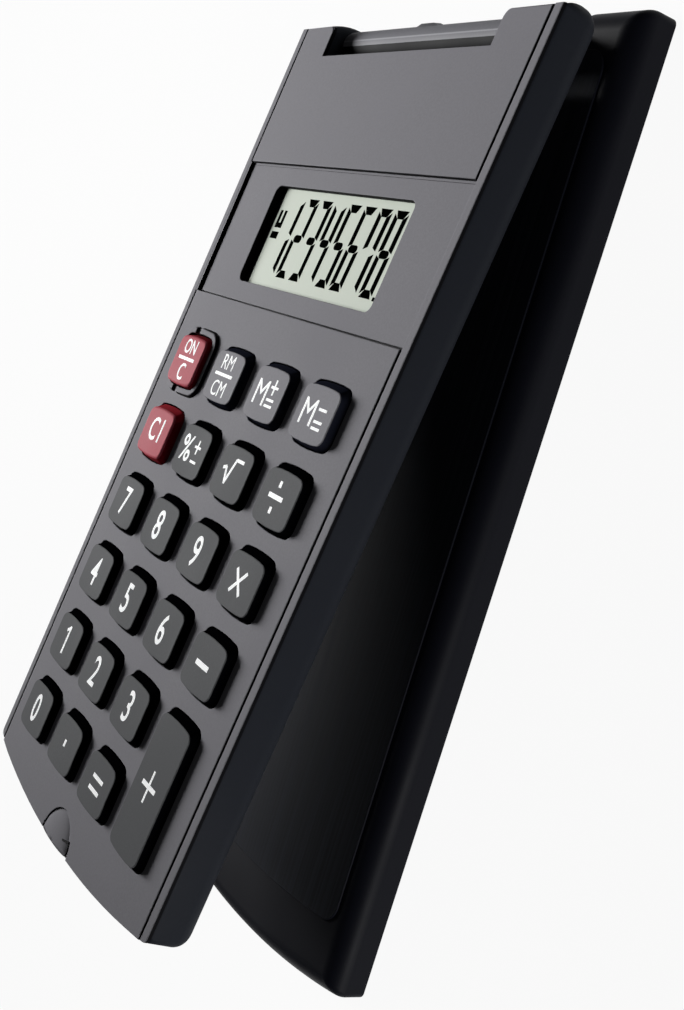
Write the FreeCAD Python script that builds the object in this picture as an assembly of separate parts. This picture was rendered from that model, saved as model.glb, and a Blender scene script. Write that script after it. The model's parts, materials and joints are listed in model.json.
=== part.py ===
import FreeCAD, Part
import math
import os
from collections import namedtuple
from FreeCAD import Vector

# A pocket calculator with a hard cover that swings round to its back on a two-axis hinge.
# All sizes are in millimetres and degrees.
#
# Case frame: x to the right, y towards the hinge, z out of the front face, with the front
# face at z = 0 and the hinge end of the front face at y = 0.
# Cover frame, which is also the model's own frame: the cover's rim lies on z = 0 with its
# outer face up, and the origin is below the middle of the cover.

# Case
CASE_WIDTH = 62.0
CASE_LENGTH = 116.3
CASE_THICKNESS = 7.0
END_ARC_RADIUS = 144.0
CASE_WALL = 1.4
CASE_FLOOR = 1.2
CASE_BACK_ROUND = 3.0
CASE_CORNER_ROUND = 1.0
INNER_CORNER = 1.8
INNER_ROUND = 1.5
FRONT_THICKNESS = 1.4
FRONT_RIM = 0.6
SHELL_GAP = 0.1

# Levels of the front face: the upper panel and the key panel stand highest
RAIL_WIDTH = 1.6
RAIL_DROP = 0.35
BAND_DROP = 0.75
GROOVE_WIDTH = 0.3
RAIL_GROOVE_DEPTH = 0.65
BAND_GROOVE_DEPTH = 1.0
TOP_PANEL_END = 20.8
KEY_PANEL_START = 41.5

# Thumb recess at the far end
THUMB_RADIUS = 5.1
THUMB_REACH = 4.9
THUMB_DEPTH = 0.35

# Display
WINDOW_SIDE = 12.5
WINDOW_HEIGHT = 14.5
WINDOW_TOP = 23.8
WINDOW_CORNER = 1.2
WINDOW_CROWN = 0.01
WINDOW_FRAME_WIDTH = 1.0
WINDOW_FRAME_DROP = 0.3
LCD_MARGIN_SIDE = 2.6
LCD_MARGIN_TOP = 1.6
LCD_MARGIN_BOTTOM = 3.4
LCD_THICKNESS = 1.3
CONNECTOR_SIDE = 1.8
CONNECTOR_DEPTH = 1.8
CONNECTOR_INSET = 0.6

# Keys
FIRST_ROW = 51.8
LAST_ROW_INSET = 9.0
OUTER_COLUMN_INSET = 11.5
KEY_COLUMN_GAP = 4.25
KEY_ROW_GAP = 3.85
KEY_CROWN = 0.4
KEY_FACE_CROWN = 0.3
KEY_FACE_CORNER = 1.05
KEY_BASE_CORNER = 1.45
KEY_FACE_DROP = 0.2
KEY_EDGE = 0.2
KEY_SIDE_DRAFT = 0.225
KEY_END_DRAFT = 0.55
KEY_RISE = 1.1
KEY_HOLE_GAP = 0.2
KEY_FLANGE_WIDTH = 0.5
KEY_FLANGE_THICKNESS = 0.6
KEY_PLAY = 0.05
KEY_FOOT_RADIUS = 1.6
KEY_FOOT_DROP = 0.3
CLEAR_KEY_RISE = 1.25
GUARDED_KEY_WIDER = 0.05
GUARDED_KEY_TALLER = 0.2
GUARDED_KEY_SIDE_DRAFT = 0.05
GUARDED_KEY_END_DRAFT = 0.225
GUARDED_KEY_SHIFT = 0.15
GUARD_WIDTH = 1.0
GUARD_ROOT = 0.3
GUARD_DRAFT = 0.3
GUARD_RISE = 0.5
GUARD_BREAK = 1.4
GUARD_BREAK_X = -1.7

# Key mat
MAT_SHEET = 0.5
MAT_MARGIN = 5.4
DOME_RADIUS = 3.0
DOME_TOP_RADIUS = 1.8

# Circuit board
BOARD_THICKNESS = 1.0
BOARD_TOP = 4.1
BOARD_SIDE_GAP = 1.1
BOARD_START = 19.6
BOARD_END_GAP = 2.9
BOARD_NOTCH_GAP = 0.4
CHIP_RADIUS = 4.0
CHIP_HEIGHT = 0.6
CHIP_X = 0.0
CHIP_Y = 50.0
POST_RADIUS = 1.2
POST_X = 14.0
POST_KEY_ROWS = (1.5, 4.5)

# Button cell and its contacts
CELL_RADIUS = 5.8
CELL_HEIGHT = 3.05
CELL_CAP_SHARE = 0.8
CELL_STEP = 0.5
CELL_X = -9.0
CELL_Y = 12.9
CELL_WELL_GAP = 0.15
CELL_WELL_WALL = 0.8
CELL_WELL_HEIGHT = 2.4
CONTACT_THICKNESS = 0.25
CONTACT_WIDTH = 4.0
CONTACT_LAP = 1.8

# Case screws
SCREW_SIDE_INSET = 4.1
SCREW_HINGE_INSET = 12.0
SCREW_END_INSET = 5.3
BOSS_RADIUS = 1.7
BOSS_FLOOR_GAP = 0.1
SCREW_RADIUS = 0.8
SCREW_HEAD_RADIUS = 1.5
SCREW_HEAD_HEIGHT = 0.8
SCREW_HEAD_SINK = 0.1
SCREW_LENGTH = 4.2
SCREW_SLOT_WIDTH = 0.4
SCREW_SLOT_DEPTH = 0.35
SCREW_FIT = 0.02
SCREW_CLEARANCE = 0.15

# Hinge
EAR_WIDTH = 10.4
EAR_NOTCH_DEPTH = 4.5
EAR_BULGE = 1.6
EAR_SHOULDER_SHARE = 0.62
EAR_SHOULDER_DEPTH_SHARE = 0.42
EAR_OUTER_CORNER = 1.6
EAR_INNER_CORNER = 1.0
CASE_AXIS_INSET = 1.2
CASE_AXIS_DEPTH = 4.4
LINK_SIDE_GAP = 0.3
LINK_LENGTH = 9.8
LINK_CASE_BARREL = 2.3
LINK_COVER_BARREL = 2.4
LINK_WEB = 2.4
TAB_WIDTH = 5.2
TAB_X = -0.8
TAB_RISE = 0.4
TAB_DEPTH = 1.2
TAB_ANGLE = 25.0
CASE_PIN_RADIUS = 0.8
COVER_PIN_RADIUS = 0.7
PIN_IN_EAR = 7.5
PIN_IN_LINK = 4.0
PIN_END_GAP = 0.2
PIN_FIT = 0.02
PIN_RUNNING = 0.05

# Cover
COVER_LONGER = 10.6
COVER_ARC_RADIUS = 120.0
COVER_THICKNESS = 5.8
COVER_WALL = 1.3
COVER_TOP_WALL = 1.15
COVER_ROUND = 3.0
COVER_CORNER_ROUND = 1.0
COVER_PANEL_RISE = 0.25
COVER_PANEL_MARGIN = 3.5
COVER_PANEL_TOP = 5.3
COVER_PANEL_END = 10.0
COVER_PANEL_ARC = 144.0
COVER_PANEL_CORNER = 3.0
COVER_AXIS_INSET = 3.7
COVER_AXIS_HEIGHT = 2.8
COVER_NOTCH_BELOW_AXIS = 4.7

# Pose in the photograph: the angle between case and cover, and of the link to the case
COVER_ANGLE = 8.6
LINK_ANGLE = 23.0
CLOSED_GAP = 0.15

KEY_NAMES = (
    ("key_on_clear", "key_memory_recall", "key_memory_plus", "key_memory_minus"),
    ("key_clear_entry", "key_percent", "key_square_root", "key_divide"),
    ("key_7", "key_8", "key_9", "key_multiply"),
    ("key_4", "key_5", "key_6", "key_subtract"),
    ("key_1", "key_2", "key_3", "key_add"),
    ("key_0", "key_point", "key_equals", None),
)
CLEAR_KEYS = ("key_on_clear", "key_clear_entry")
GUARDED_KEY = "key_on_clear"
TALL_KEY = "key_add"
Key = namedtuple("Key", "name x y width height side_draft end_draft rise")

def arc_sag(half_width, radius):
    """Height of an arc over its chord."""
    return radius - math.sqrt(radius ** 2 - half_width ** 2)


# Values worked out from the driving sizes
HALF_WIDTH = CASE_WIDTH / 2
KEY_ROWS = len(KEY_NAMES)
KEY_COLUMNS = len(KEY_NAMES[0])
KEY_PITCH_X = (CASE_WIDTH - 2 * OUTER_COLUMN_INSET) / (KEY_COLUMNS - 1)
KEY_PITCH_Y = (CASE_LENGTH - FIRST_ROW - LAST_ROW_INSET) / (KEY_ROWS - 1)
KEY_WIDTH = KEY_PITCH_X - KEY_COLUMN_GAP
KEY_HEIGHT = KEY_PITCH_Y - KEY_ROW_GAP
WINDOW_WIDTH = CASE_WIDTH - 2 * WINDOW_SIDE
SCREW_X = HALF_WIDTH - SCREW_SIDE_INSET
SCREW_LAST = CASE_LENGTH - SCREW_END_INSET
SCREW_ROWS = (SCREW_HINGE_INSET, (SCREW_HINGE_INSET + SCREW_LAST) / 2, SCREW_LAST)
POST_ROWS = [FIRST_ROW + row * KEY_PITCH_Y for row in POST_KEY_ROWS]
BOARD_END = CASE_LENGTH - BOARD_END_GAP
COVER_SIDE_LENGTH = CASE_LENGTH + COVER_LONGER
END_SAG = arc_sag(HALF_WIDTH, END_ARC_RADIUS)
COVER_SAG = arc_sag(HALF_WIDTH, COVER_ARC_RADIUS)
COVER_LENGTH = COVER_SIDE_LENGTH + COVER_SAG
COVER_HINGE_END = COVER_LENGTH / 2
COVER_MARGIN_HEIGHT = COVER_THICKNESS - COVER_PANEL_RISE
COVER_AXIS_Y = COVER_HINGE_END - COVER_AXIS_INSET
NOTCH_HALF = HALF_WIDTH - EAR_WIDTH
LINK_HALF = NOTCH_HALF - LINK_SIDE_GAP
CASE_AXIS = Vector(0, -CASE_AXIS_INSET, -CASE_AXIS_DEPTH)
COVER_AXIS = Vector(0, COVER_AXIS_Y, COVER_AXIS_HEIGHT)
LINK_TILT = LINK_ANGLE - COVER_ANGLE
CAVITY_FLOOR_Z = -CASE_THICKNESS + CASE_FLOOR
CAVITY_START = EAR_NOTCH_DEPTH + CASE_WALL
LCD_TOP_Z = -FRONT_THICKNESS - WINDOW_FRAME_DROP
LCD_BOTTOM_Z = LCD_TOP_Z - LCD_THICKNESS
MAT_TOP_Z = -BOARD_TOP + MAT_SHEET
FLANGE_TOP_Z = -FRONT_THICKNESS - KEY_PLAY
FLANGE_BOTTOM_Z = FLANGE_TOP_Z - KEY_FLANGE_THICKNESS
FOOT_Z = FLANGE_BOTTOM_Z - KEY_FOOT_DROP
BOARD_BOTTOM_Z = -BOARD_TOP - BOARD_THICKNESS
FAR = 400.0


def box(x0, x1, y0, y1, z0, z1):
    """Box between two corners."""
    return Part.makeBox(x1 - x0, y1 - y0, z1 - z0, Vector(x0, y0, z0))


def disc(radius, x, y, z0, z1):
    """Upright cylinder between two heights."""
    return Part.makeCylinder(radius, z1 - z0, Vector(x, y, z0), Vector(0, 0, 1))


def rod(radius, x0, x1, y, z):
    """Cylinder along x between two places."""
    return Part.makeCylinder(radius, x1 - x0, Vector(x0, y, z), Vector(1, 0, 0))


def prism(wire, z0, z1):
    """Solid between two heights with the outline of a wire that lies at height zero."""
    face = Part.Face(wire)
    face.translate(Vector(0, 0, z0))
    return face.extrude(Vector(0, 0, z1 - z0))


def crowned_outline(width, height, crown, corner, z=0.0):
    """Rounded oblong about the origin, whose two short ends bulge by the crown."""
    half_w = width / 2
    half_h = height / 2
    bow = (half_w ** 2 + crown ** 2) / (2 * crown)
    centre_y = half_h - bow
    corner_x = half_w - corner
    corner_y = centre_y + math.sqrt((bow - corner) ** 2 - corner_x ** 2)
    reach = bow / (bow - corner)
    meet_x = corner_x * reach
    meet_y = centre_y + (corner_y - centre_y) * reach
    middle = (math.atan2(meet_y - corner_y, meet_x - corner_x)) / 2
    bend_x = corner_x + corner * math.cos(middle)
    bend_y = corner_y + corner * math.sin(middle)

    def point(x, y):
        return Vector(x, y, z)

    edges = []
    for side in (1, -1):
        edges.append(Part.LineSegment(point(side * half_w, -side * corner_y),
                                      point(side * half_w, side * corner_y)))
        edges.append(Part.Arc(point(side * half_w, side * corner_y),
                              point(side * bend_x, side * bend_y),
                              point(side * meet_x, side * meet_y)))
        edges.append(Part.Arc(point(side * meet_x, side * meet_y),
                              point(0, side * half_h),
                              point(-side * meet_x, side * meet_y)))
        edges.append(Part.Arc(point(-side * meet_x, side * meet_y),
                              point(-side * bend_x, side * bend_y),
                              point(-side * half_w, side * corner_y)))
    return Part.Wire([edge.toShape() for edge in edges])


def end_outline(half_width, hinge_y, side_end_y, radius):
    """Outline with a straight hinge end and a far end bowed outwards to the radius."""
    sag = arc_sag(half_width, radius)
    corners = (Vector(half_width, side_end_y, 0), Vector(half_width, hinge_y, 0),
               Vector(-half_width, hinge_y, 0), Vector(-half_width, side_end_y, 0))
    edges = [Part.LineSegment(corners[i], corners[i + 1]).toShape() for i in range(3)]
    edges.append(Part.Arc(corners[3], Vector(0, side_end_y - sag, 0), corners[0]).toShape())
    return Part.Wire(edges)


def inner_side_end(inset, side_end_y, radius):
    """Where the side of an outline ends once it is drawn in by an even inset."""
    centre_y = side_end_y + math.sqrt(radius ** 2 - HALF_WIDTH ** 2)
    return centre_y - math.sqrt((radius - inset) ** 2 - (HALF_WIDTH - inset) ** 2)


def rounded_block(outline, z0, z1, far_corner, hinge_corner, rim_round, rounded_z):
    """Block with rounded upright corners and one of its two faces rounded all round."""
    block = prism(outline, z0, z1)
    middle_y = (block.BoundBox.YMin + block.BoundBox.YMax) / 2

    def is_upright(edge):
        return edge.BoundBox.ZLength > (z1 - z0) / 2

    block = round_edges(block, far_corner,
                        lambda edge: is_upright(edge) and edge_middle(edge).y < middle_y)
    block = round_edges(block, hinge_corner,
                        lambda edge: is_upright(edge) and edge_middle(edge).y > middle_y
                        and edge.BoundBox.YLength < 1e-3 and edge.BoundBox.XLength < 1e-3)
    return round_edges(block, rim_round, lambda edge: is_flat_at(edge, rounded_z))


def round_edges(shape, radius, wanted):
    """Round the edges of a shape for which wanted says yes."""
    edges = [edge for edge in shape.Edges if wanted(edge)]
    return shape.makeFillet(radius, edges)


def edge_middle(edge):
    """Point half way along an edge."""
    return edge.valueAt((edge.FirstParameter + edge.LastParameter) / 2)


def is_flat_at(edge, z):
    """Say whether an edge lies at one height."""
    return abs(edge.BoundBox.ZMin - z) < 1e-4 and abs(edge.BoundBox.ZMax - z) < 1e-4


def joined(first, others):
    """Fuse a list of solids to the first and clean the seams."""
    return first.fuse(others).removeSplitter() if others else first


def key_centre(column, row):
    """Centre of a key in the grid."""
    return (column - (KEY_COLUMNS - 1) / 2) * KEY_PITCH_X, -FIRST_ROW - row * KEY_PITCH_Y


def key_places():
    """List the keys with their places and sizes."""
    keys = []
    for row, names in enumerate(KEY_NAMES):
        for column, name in enumerate(names):
            if name is None:
                continue
            x, y = key_centre(column, row)
            rise = CLEAR_KEY_RISE if name in CLEAR_KEYS else KEY_RISE
            key = Key(name, x, y, KEY_WIDTH, KEY_HEIGHT, KEY_SIDE_DRAFT, KEY_END_DRAFT, rise)
            if name == GUARDED_KEY:
                key = Key(name, x, y + GUARDED_KEY_SHIFT, KEY_WIDTH + GUARDED_KEY_WIDER,
                          KEY_HEIGHT + GUARDED_KEY_TALLER, GUARDED_KEY_SIDE_DRAFT,
                          GUARDED_KEY_END_DRAFT, rise)
            if name == TALL_KEY:
                key = key._replace(y=y - KEY_PITCH_Y / 2, height=KEY_HEIGHT + KEY_PITCH_Y)
            keys.append(key)
    return keys


def key_base_outline(key, grow=0.0, z=0.0):
    """Outline of a key's base, made larger by grow."""
    return crowned_outline(key.width + 2 * (key.side_draft + grow),
                           key.height + 2 * (key.end_draft + grow), KEY_CROWN,
                           KEY_BASE_CORNER + grow, z)


def key_hole_outline(key, grow=0.0, z=0.0):
    """Outline of the hole round a key, made larger by grow."""
    return key_base_outline(key, KEY_HOLE_GAP + grow, z)


def key_face_outline(key, inset, z):
    """Outline of a key's face, which lies a little off the middle of its base."""
    outline = crowned_outline(key.width - 2 * inset, key.height - 2 * inset, KEY_FACE_CROWN,
                              KEY_FACE_CORNER - inset, z)
    outline.translate(Vector(0, -KEY_FACE_DROP, 0))
    return outline


def make_key(key):
    """Key cap with drafted walls, a flange under the front and a foot over its dome."""
    base = key_base_outline(key)
    shoulder = key_face_outline(key, 0, key.rise - KEY_EDGE)
    face = key_face_outline(key, KEY_EDGE, key.rise)
    cap = Part.makeLoft([base, shoulder, face], True, True)
    neck = prism(base, FLANGE_TOP_Z, 0)
    flange = prism(key_hole_outline(key, KEY_FLANGE_WIDTH), FLANGE_BOTTOM_Z, FLANGE_TOP_Z)
    foot = disc(KEY_FOOT_RADIUS, 0, 0, FOOT_Z, FLANGE_BOTTOM_Z)
    solid = joined(cap, [neck, flange, foot])
    solid.translate(Vector(key.x, key.y, 0))
    return solid


def make_guard(key):
    """Low raised collar round a key, with sloping sides and two breaks."""
    foot = key_hole_outline(key, GUARD_WIDTH)
    slope = Part.makeLoft([foot, key_hole_outline(key, GUARD_WIDTH - GUARD_DRAFT, GUARD_RISE)],
                          True, True)
    collar = slope.fuse(prism(foot, -GUARD_ROOT, 0)).removeSplitter()
    half = GUARD_BREAK / 2
    collar = collar.cut(box(GUARD_BREAK_X - half, GUARD_BREAK_X + half, -FAR, FAR, 0, FAR))
    collar.translate(Vector(key.x, key.y, 0))
    return collar


def ear_profile():
    """Side view of the case as a face across x, with its rounded hinge end."""
    low = -CASE_LENGTH - 2 * END_SAG
    ear_radius = CASE_THICKNESS - CASE_AXIS_DEPTH
    top = Vector(0, EAR_BULGE, -CASE_AXIS_DEPTH)
    back = Vector(0, EAR_BULGE - ear_radius, -CASE_THICKNESS)
    corner = ear_radius * (1 - math.sqrt(0.5))
    turn = Vector(0, EAR_BULGE - corner, -CASE_THICKNESS + corner)
    front = Vector(0, 0, 0)
    shoulder = Vector(0, EAR_BULGE * EAR_SHOULDER_SHARE,
                      -CASE_AXIS_DEPTH * EAR_SHOULDER_DEPTH_SHARE)
    edges = [
        Part.Arc(front, shoulder, top).toShape(),
        Part.Arc(top, turn, back).toShape(),
        Part.LineSegment(back, Vector(0, low, -CASE_THICKNESS)).toShape(),
        Part.LineSegment(Vector(0, low, -CASE_THICKNESS), Vector(0, low, 0)).toShape(),
        Part.LineSegment(Vector(0, low, 0), front).toShape(),
    ]
    return Part.Face(Part.Wire(edges))


def make_case_envelope():
    """Whole outside of the case, before it is parted into its two shells."""
    outline = end_outline(HALF_WIDTH, EAR_BULGE, -CASE_LENGTH, END_ARC_RADIUS)
    body = rounded_block(outline, -CASE_THICKNESS, 0, CASE_CORNER_ROUND, EAR_OUTER_CORNER,
                         CASE_BACK_ROUND, -CASE_THICKNESS)
    profile = ear_profile()
    profile.translate(Vector(-HALF_WIDTH, 0, 0))
    body = body.common(profile.extrude(Vector(CASE_WIDTH, 0, 0)))
    body = body.cut(box(-NOTCH_HALF, NOTCH_HALF, -EAR_NOTCH_DEPTH, FAR, -FAR, FAR))
    return round_edges(body, EAR_INNER_CORNER,
                       lambda edge: abs(abs(edge_middle(edge).x) - NOTCH_HALF) < 1e-3
                       and edge_middle(edge).z > -CASE_AXIS_DEPTH + 0.1
                       and edge_middle(edge).y > 0)


def cavity(inset, start, z0, z1):
    """Block that fills the case inside an even inset from its outline."""
    side_end = inner_side_end(inset, -CASE_LENGTH, END_ARC_RADIUS)
    outline = end_outline(HALF_WIDTH - inset, -start, side_end, END_ARC_RADIUS - inset)
    return prism(outline, z0, z1)


def screw_places():
    """List the middle of each case screw."""
    return [(side * SCREW_X, -row) for row in SCREW_ROWS for side in (-1, 1)]


def case_pin_bore(radius):
    """Rods along the hinge axis in both ears of the case."""
    reach = NOTCH_HALF + PIN_IN_EAR + PIN_END_GAP
    return [rod(radius, side_x, side_x + reach - NOTCH_HALF, CASE_AXIS.y, CASE_AXIS.z)
            for side_x in (NOTCH_HALF, -reach)]


def make_front_shell(envelope):
    """Front of the case with its window, key holes, levels, thumb recess and screw bosses."""
    rim = envelope.common(box(-FAR, FAR, -FAR, FAR, -FRONT_RIM, FAR))
    plate = cavity(CASE_WALL + SHELL_GAP, CAVITY_START + SHELL_GAP, -FRONT_THICKNESS,
                   -FRONT_RIM)
    shell = rim.fuse(plate)
    bosses = [disc(BOSS_RADIUS, x, y, CAVITY_FLOOR_Z + BOSS_FLOOR_GAP, -FRONT_RIM)
              for x, y in screw_places()]
    window = crowned_outline(WINDOW_WIDTH, WINDOW_HEIGHT, WINDOW_CROWN, WINDOW_CORNER)
    window_place = Vector(0, -WINDOW_TOP - WINDOW_HEIGHT / 2, 0)
    frame_grow = 2 * WINDOW_FRAME_WIDTH
    frame_outline = crowned_outline(WINDOW_WIDTH + frame_grow, WINDOW_HEIGHT + frame_grow,
                                    WINDOW_CROWN, WINDOW_CORNER + WINDOW_FRAME_WIDTH)
    frame = prism(frame_outline, LCD_TOP_Z, -FRONT_RIM)
    frame.translate(window_place)
    opening = prism(window, -FAR, FAR)
    opening.translate(window_place)
    cuts = [opening]
    for key in key_places():
        hole = prism(key_hole_outline(key), -FAR, FAR)
        hole.translate(Vector(key.x, key.y, 0))
        cuts.append(hole)
        if key.name == GUARDED_KEY:
            guard = make_guard(key)
    shell = joined(shell, bosses + [frame, guard])
    cuts += front_levels()
    cuts.append(make_thumb_recess())
    for x, y in screw_places():
        cuts.append(disc(SCREW_RADIUS + SCREW_FIT, x, y, -FAR, -FRONT_THICKNESS))
    return shell.cut(cuts)


def front_levels():
    """Cuts that lower the rails and the display band, with a fine groove round each panel."""
    rail_inner = HALF_WIDTH - RAIL_WIDTH
    panel_half = rail_inner - GROOVE_WIDTH
    band_start, band_end = -TOP_PANEL_END, -KEY_PANEL_START
    cuts = [box(-panel_half, panel_half, band_end, band_start, -BAND_DROP, FAR)]
    for side in (-1, 1):
        x0, x1 = sorted((side * rail_inner, side * FAR))
        cuts.append(box(x0, x1, -FAR, FAR, -RAIL_DROP, FAR))
        x0, x1 = sorted((side * rail_inner, side * panel_half))
        cuts.append(box(x0, x1, -FAR, FAR, -RAIL_GROOVE_DEPTH, FAR))
        cuts.append(box(x0, x1, band_end, band_start, -BAND_GROOVE_DEPTH, FAR))
    for y0, y1 in ((band_start - GROOVE_WIDTH, band_start), (band_end, band_end + GROOVE_WIDTH)):
        cuts.append(box(-panel_half, panel_half, y0, y1, -BAND_GROOVE_DEPTH, FAR))
    return cuts


def make_thumb_recess():
    """Half-round recess in the middle of the front's far edge."""
    end_y = -CASE_LENGTH - END_SAG
    return disc(THUMB_RADIUS, 0, end_y + THUMB_REACH - THUMB_RADIUS, -THUMB_DEPTH, FAR)


def make_rear_shell(envelope):
    """Tray that holds the works, with the hinge ears, board posts, cell well and screw holes."""
    shell = envelope.common(box(-FAR, FAR, -FAR, FAR, -FAR, -FRONT_RIM))
    side_end = inner_side_end(CASE_WALL, -CASE_LENGTH, END_ARC_RADIUS)
    outline = end_outline(HALF_WIDTH - CASE_WALL, -CAVITY_START, side_end,
                          END_ARC_RADIUS - CASE_WALL)
    hollow = rounded_block(outline, CAVITY_FLOOR_Z, 0, INNER_CORNER, INNER_CORNER,
                           INNER_ROUND, CAVITY_FLOOR_Z)
    shell = shell.cut(hollow)
    posts = [disc(POST_RADIUS, side * POST_X, -row, CAVITY_FLOOR_Z, BOARD_BOTTOM_Z)
             for row in POST_ROWS for side in (-1, 1)]
    well_inner = CELL_RADIUS + CELL_WELL_GAP
    well_top = CAVITY_FLOOR_Z + CELL_WELL_HEIGHT
    well = disc(well_inner + CELL_WELL_WALL, CELL_X, -CELL_Y, CAVITY_FLOOR_Z, well_top)
    well = well.cut(disc(well_inner, CELL_X, -CELL_Y, CAVITY_FLOOR_Z, well_top))
    half = CONTACT_WIDTH / 2 + CELL_WELL_GAP
    well = well.cut(box(CELL_X - half, CELL_X + half, -FAR, -CELL_Y, -FAR, FAR))
    well = well.cut(box(-FAR, FAR, -CAVITY_START, FAR, -FAR, FAR))
    shell = joined(shell, posts + [well])
    cuts = case_pin_bore(CASE_PIN_RADIUS + PIN_FIT)
    head_z = -CASE_THICKNESS + SCREW_HEAD_SINK + SCREW_HEAD_HEIGHT
    for x, y in screw_places():
        cuts.append(disc(SCREW_RADIUS + SCREW_CLEARANCE, x, y, -FAR, 0))
        cuts.append(disc(SCREW_HEAD_RADIUS + SCREW_CLEARANCE, x, y, -FAR, head_z))
    return shell.cut(cuts)


def make_case_screws():
    """Six slotted screws that hold the shells together from behind."""
    head_bottom = -CASE_THICKNESS + SCREW_HEAD_SINK
    head_top = head_bottom + SCREW_HEAD_HEIGHT
    screws = []
    for x, y in screw_places():
        head = disc(SCREW_HEAD_RADIUS, x, y, head_bottom, head_top)
        shank = disc(SCREW_RADIUS, x, y, head_top, head_bottom + SCREW_LENGTH)
        half = SCREW_SLOT_WIDTH / 2
        slot = box(x - SCREW_HEAD_RADIUS, x + SCREW_HEAD_RADIUS, y - half, y + half,
                   head_bottom, head_bottom + SCREW_SLOT_DEPTH)
        screws.append(joined(head, [shank]).cut(slot))
    return Part.makeCompound(screws)


def lcd_span():
    """Left, right, far and near edges of the display glass."""
    half = WINDOW_WIDTH / 2 + LCD_MARGIN_SIDE
    near = -WINDOW_TOP + LCD_MARGIN_TOP
    far = -WINDOW_TOP - WINDOW_HEIGHT - LCD_MARGIN_BOTTOM
    return -half, half, far, near


def make_lcd_panel():
    """Display glass against the back of the window frame."""
    x0, x1, y0, y1 = lcd_span()
    return box(x0, x1, y0, y1, LCD_BOTTOM_Z, LCD_TOP_Z)


def make_lcd_connector():
    """Elastic strip that joins the display's ledge to the board."""
    x0, x1, y0, y1 = lcd_span()
    low = y0 + CONNECTOR_INSET
    return box(x0 + CONNECTOR_SIDE, x1 - CONNECTOR_SIDE, low, low + CONNECTOR_DEPTH, -BOARD_TOP,
               LCD_BOTTOM_Z)


def make_circuit_board():
    """Board under the keys and the display, cut away round the screw bosses."""
    half = HALF_WIDTH - CASE_WALL - BOARD_SIDE_GAP
    board = box(-half, half, -BOARD_END, -BOARD_START, BOARD_BOTTOM_Z, -BOARD_TOP)
    notches = [disc(BOSS_RADIUS + BOARD_NOTCH_GAP, x, y, -FAR, FAR) for x, y in screw_places()]
    notches += [box(min(x, 2 * x), max(x, 2 * x), y - BOSS_RADIUS - BOARD_NOTCH_GAP,
                    y + BOSS_RADIUS + BOARD_NOTCH_GAP, -FAR, FAR) for x, y in screw_places()]
    return board.cut(notches)


def make_keypad_mat():
    """Rubber sheet on the board with a dome under each key's foot."""
    keys = key_places()
    left = min(key.x for key in keys) - MAT_MARGIN
    right = max(key.x for key in keys) + MAT_MARGIN
    low = min(key.y for key in keys) - MAT_MARGIN
    high = max(key.y for key in keys) + MAT_MARGIN
    mat = box(left, right, low, high, -BOARD_TOP, MAT_TOP_Z)
    height = FOOT_Z - KEY_PLAY - MAT_TOP_Z
    domes = [Part.makeCone(DOME_RADIUS, DOME_TOP_RADIUS, height, Vector(key.x, key.y, MAT_TOP_Z))
             for key in keys]
    return joined(mat, domes)


def make_chip():
    """Domed black cover over the bare chip, under the board."""
    ball_radius = (CHIP_RADIUS ** 2 + CHIP_HEIGHT ** 2) / (2 * CHIP_HEIGHT)
    centre = Vector(CHIP_X, -CHIP_Y, BOARD_BOTTOM_Z - CHIP_HEIGHT + ball_radius)
    ball = Part.makeSphere(ball_radius, centre)
    return ball.common(disc(ball_radius, CHIP_X, -CHIP_Y, -CASE_THICKNESS, BOARD_BOTTOM_Z))


def cell_span():
    """Lower and upper height of the button cell."""
    low = CAVITY_FLOOR_Z + CONTACT_THICKNESS
    return low, low + CELL_HEIGHT


def make_button_cell():
    """Button cell with a stepped negative cap on its lower side."""
    low, high = cell_span()
    can = disc(CELL_RADIUS, CELL_X, -CELL_Y, low + CELL_STEP, high)
    cap = disc(CELL_RADIUS * CELL_CAP_SHARE, CELL_X, -CELL_Y, low, low + CELL_STEP)
    return joined(can, [cap])


def make_contact(over):
    """Bent strip from one side of the cell to the board; over says which side."""
    low, high = cell_span()
    half = CONTACT_WIDTH / 2
    x0, x1 = CELL_X - half, CELL_X + half
    well_edge = -CELL_Y - CELL_RADIUS
    if over:
        x0, x1 = x0 + CONTACT_WIDTH + CELL_WELL_GAP, x1 + CONTACT_WIDTH + CELL_WELL_GAP
        flat = box(x0, x1, -BOARD_START - CONTACT_THICKNESS, -CELL_Y, high,
                   high + CONTACT_THICKNESS)
        leg = box(x0, x1, -BOARD_START - CONTACT_THICKNESS, -BOARD_START, -BOARD_TOP, high)
        foot = box(x0, x1, -BOARD_START - CONTACT_LAP, -BOARD_START, -BOARD_TOP,
                   -BOARD_TOP + CONTACT_THICKNESS)
        return joined(flat, [leg, foot])
    reach = min(well_edge, -BOARD_START) - CONTACT_LAP
    flat = box(x0, x1, reach, -CELL_Y, CAVITY_FLOOR_Z, low)
    leg = box(x0, x1, reach, reach + CONTACT_THICKNESS, low, BOARD_BOTTOM_Z)
    return joined(flat, [leg])


def make_case_pins():
    """Steel pins from the ears of the case into the link."""
    inner = NOTCH_HALF - LINK_SIDE_GAP - PIN_IN_LINK
    length = LINK_SIDE_GAP + PIN_IN_LINK + PIN_IN_EAR
    pins = [rod(CASE_PIN_RADIUS, start, start + length, CASE_AXIS.y, CASE_AXIS.z)
            for start in (inner, -inner - length)]
    return Part.makeCompound(pins)


def make_cover_pins():
    """Steel pins from the ears of the cover into the link."""
    inner = NOTCH_HALF - LINK_SIDE_GAP - PIN_IN_LINK
    length = LINK_SIDE_GAP + PIN_IN_LINK + PIN_IN_EAR
    pins = [rod(COVER_PIN_RADIUS, start, start + length, COVER_AXIS.y, COVER_AXIS.z)
            for start in (inner, -inner - length)]
    return Part.makeCompound(pins)


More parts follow.
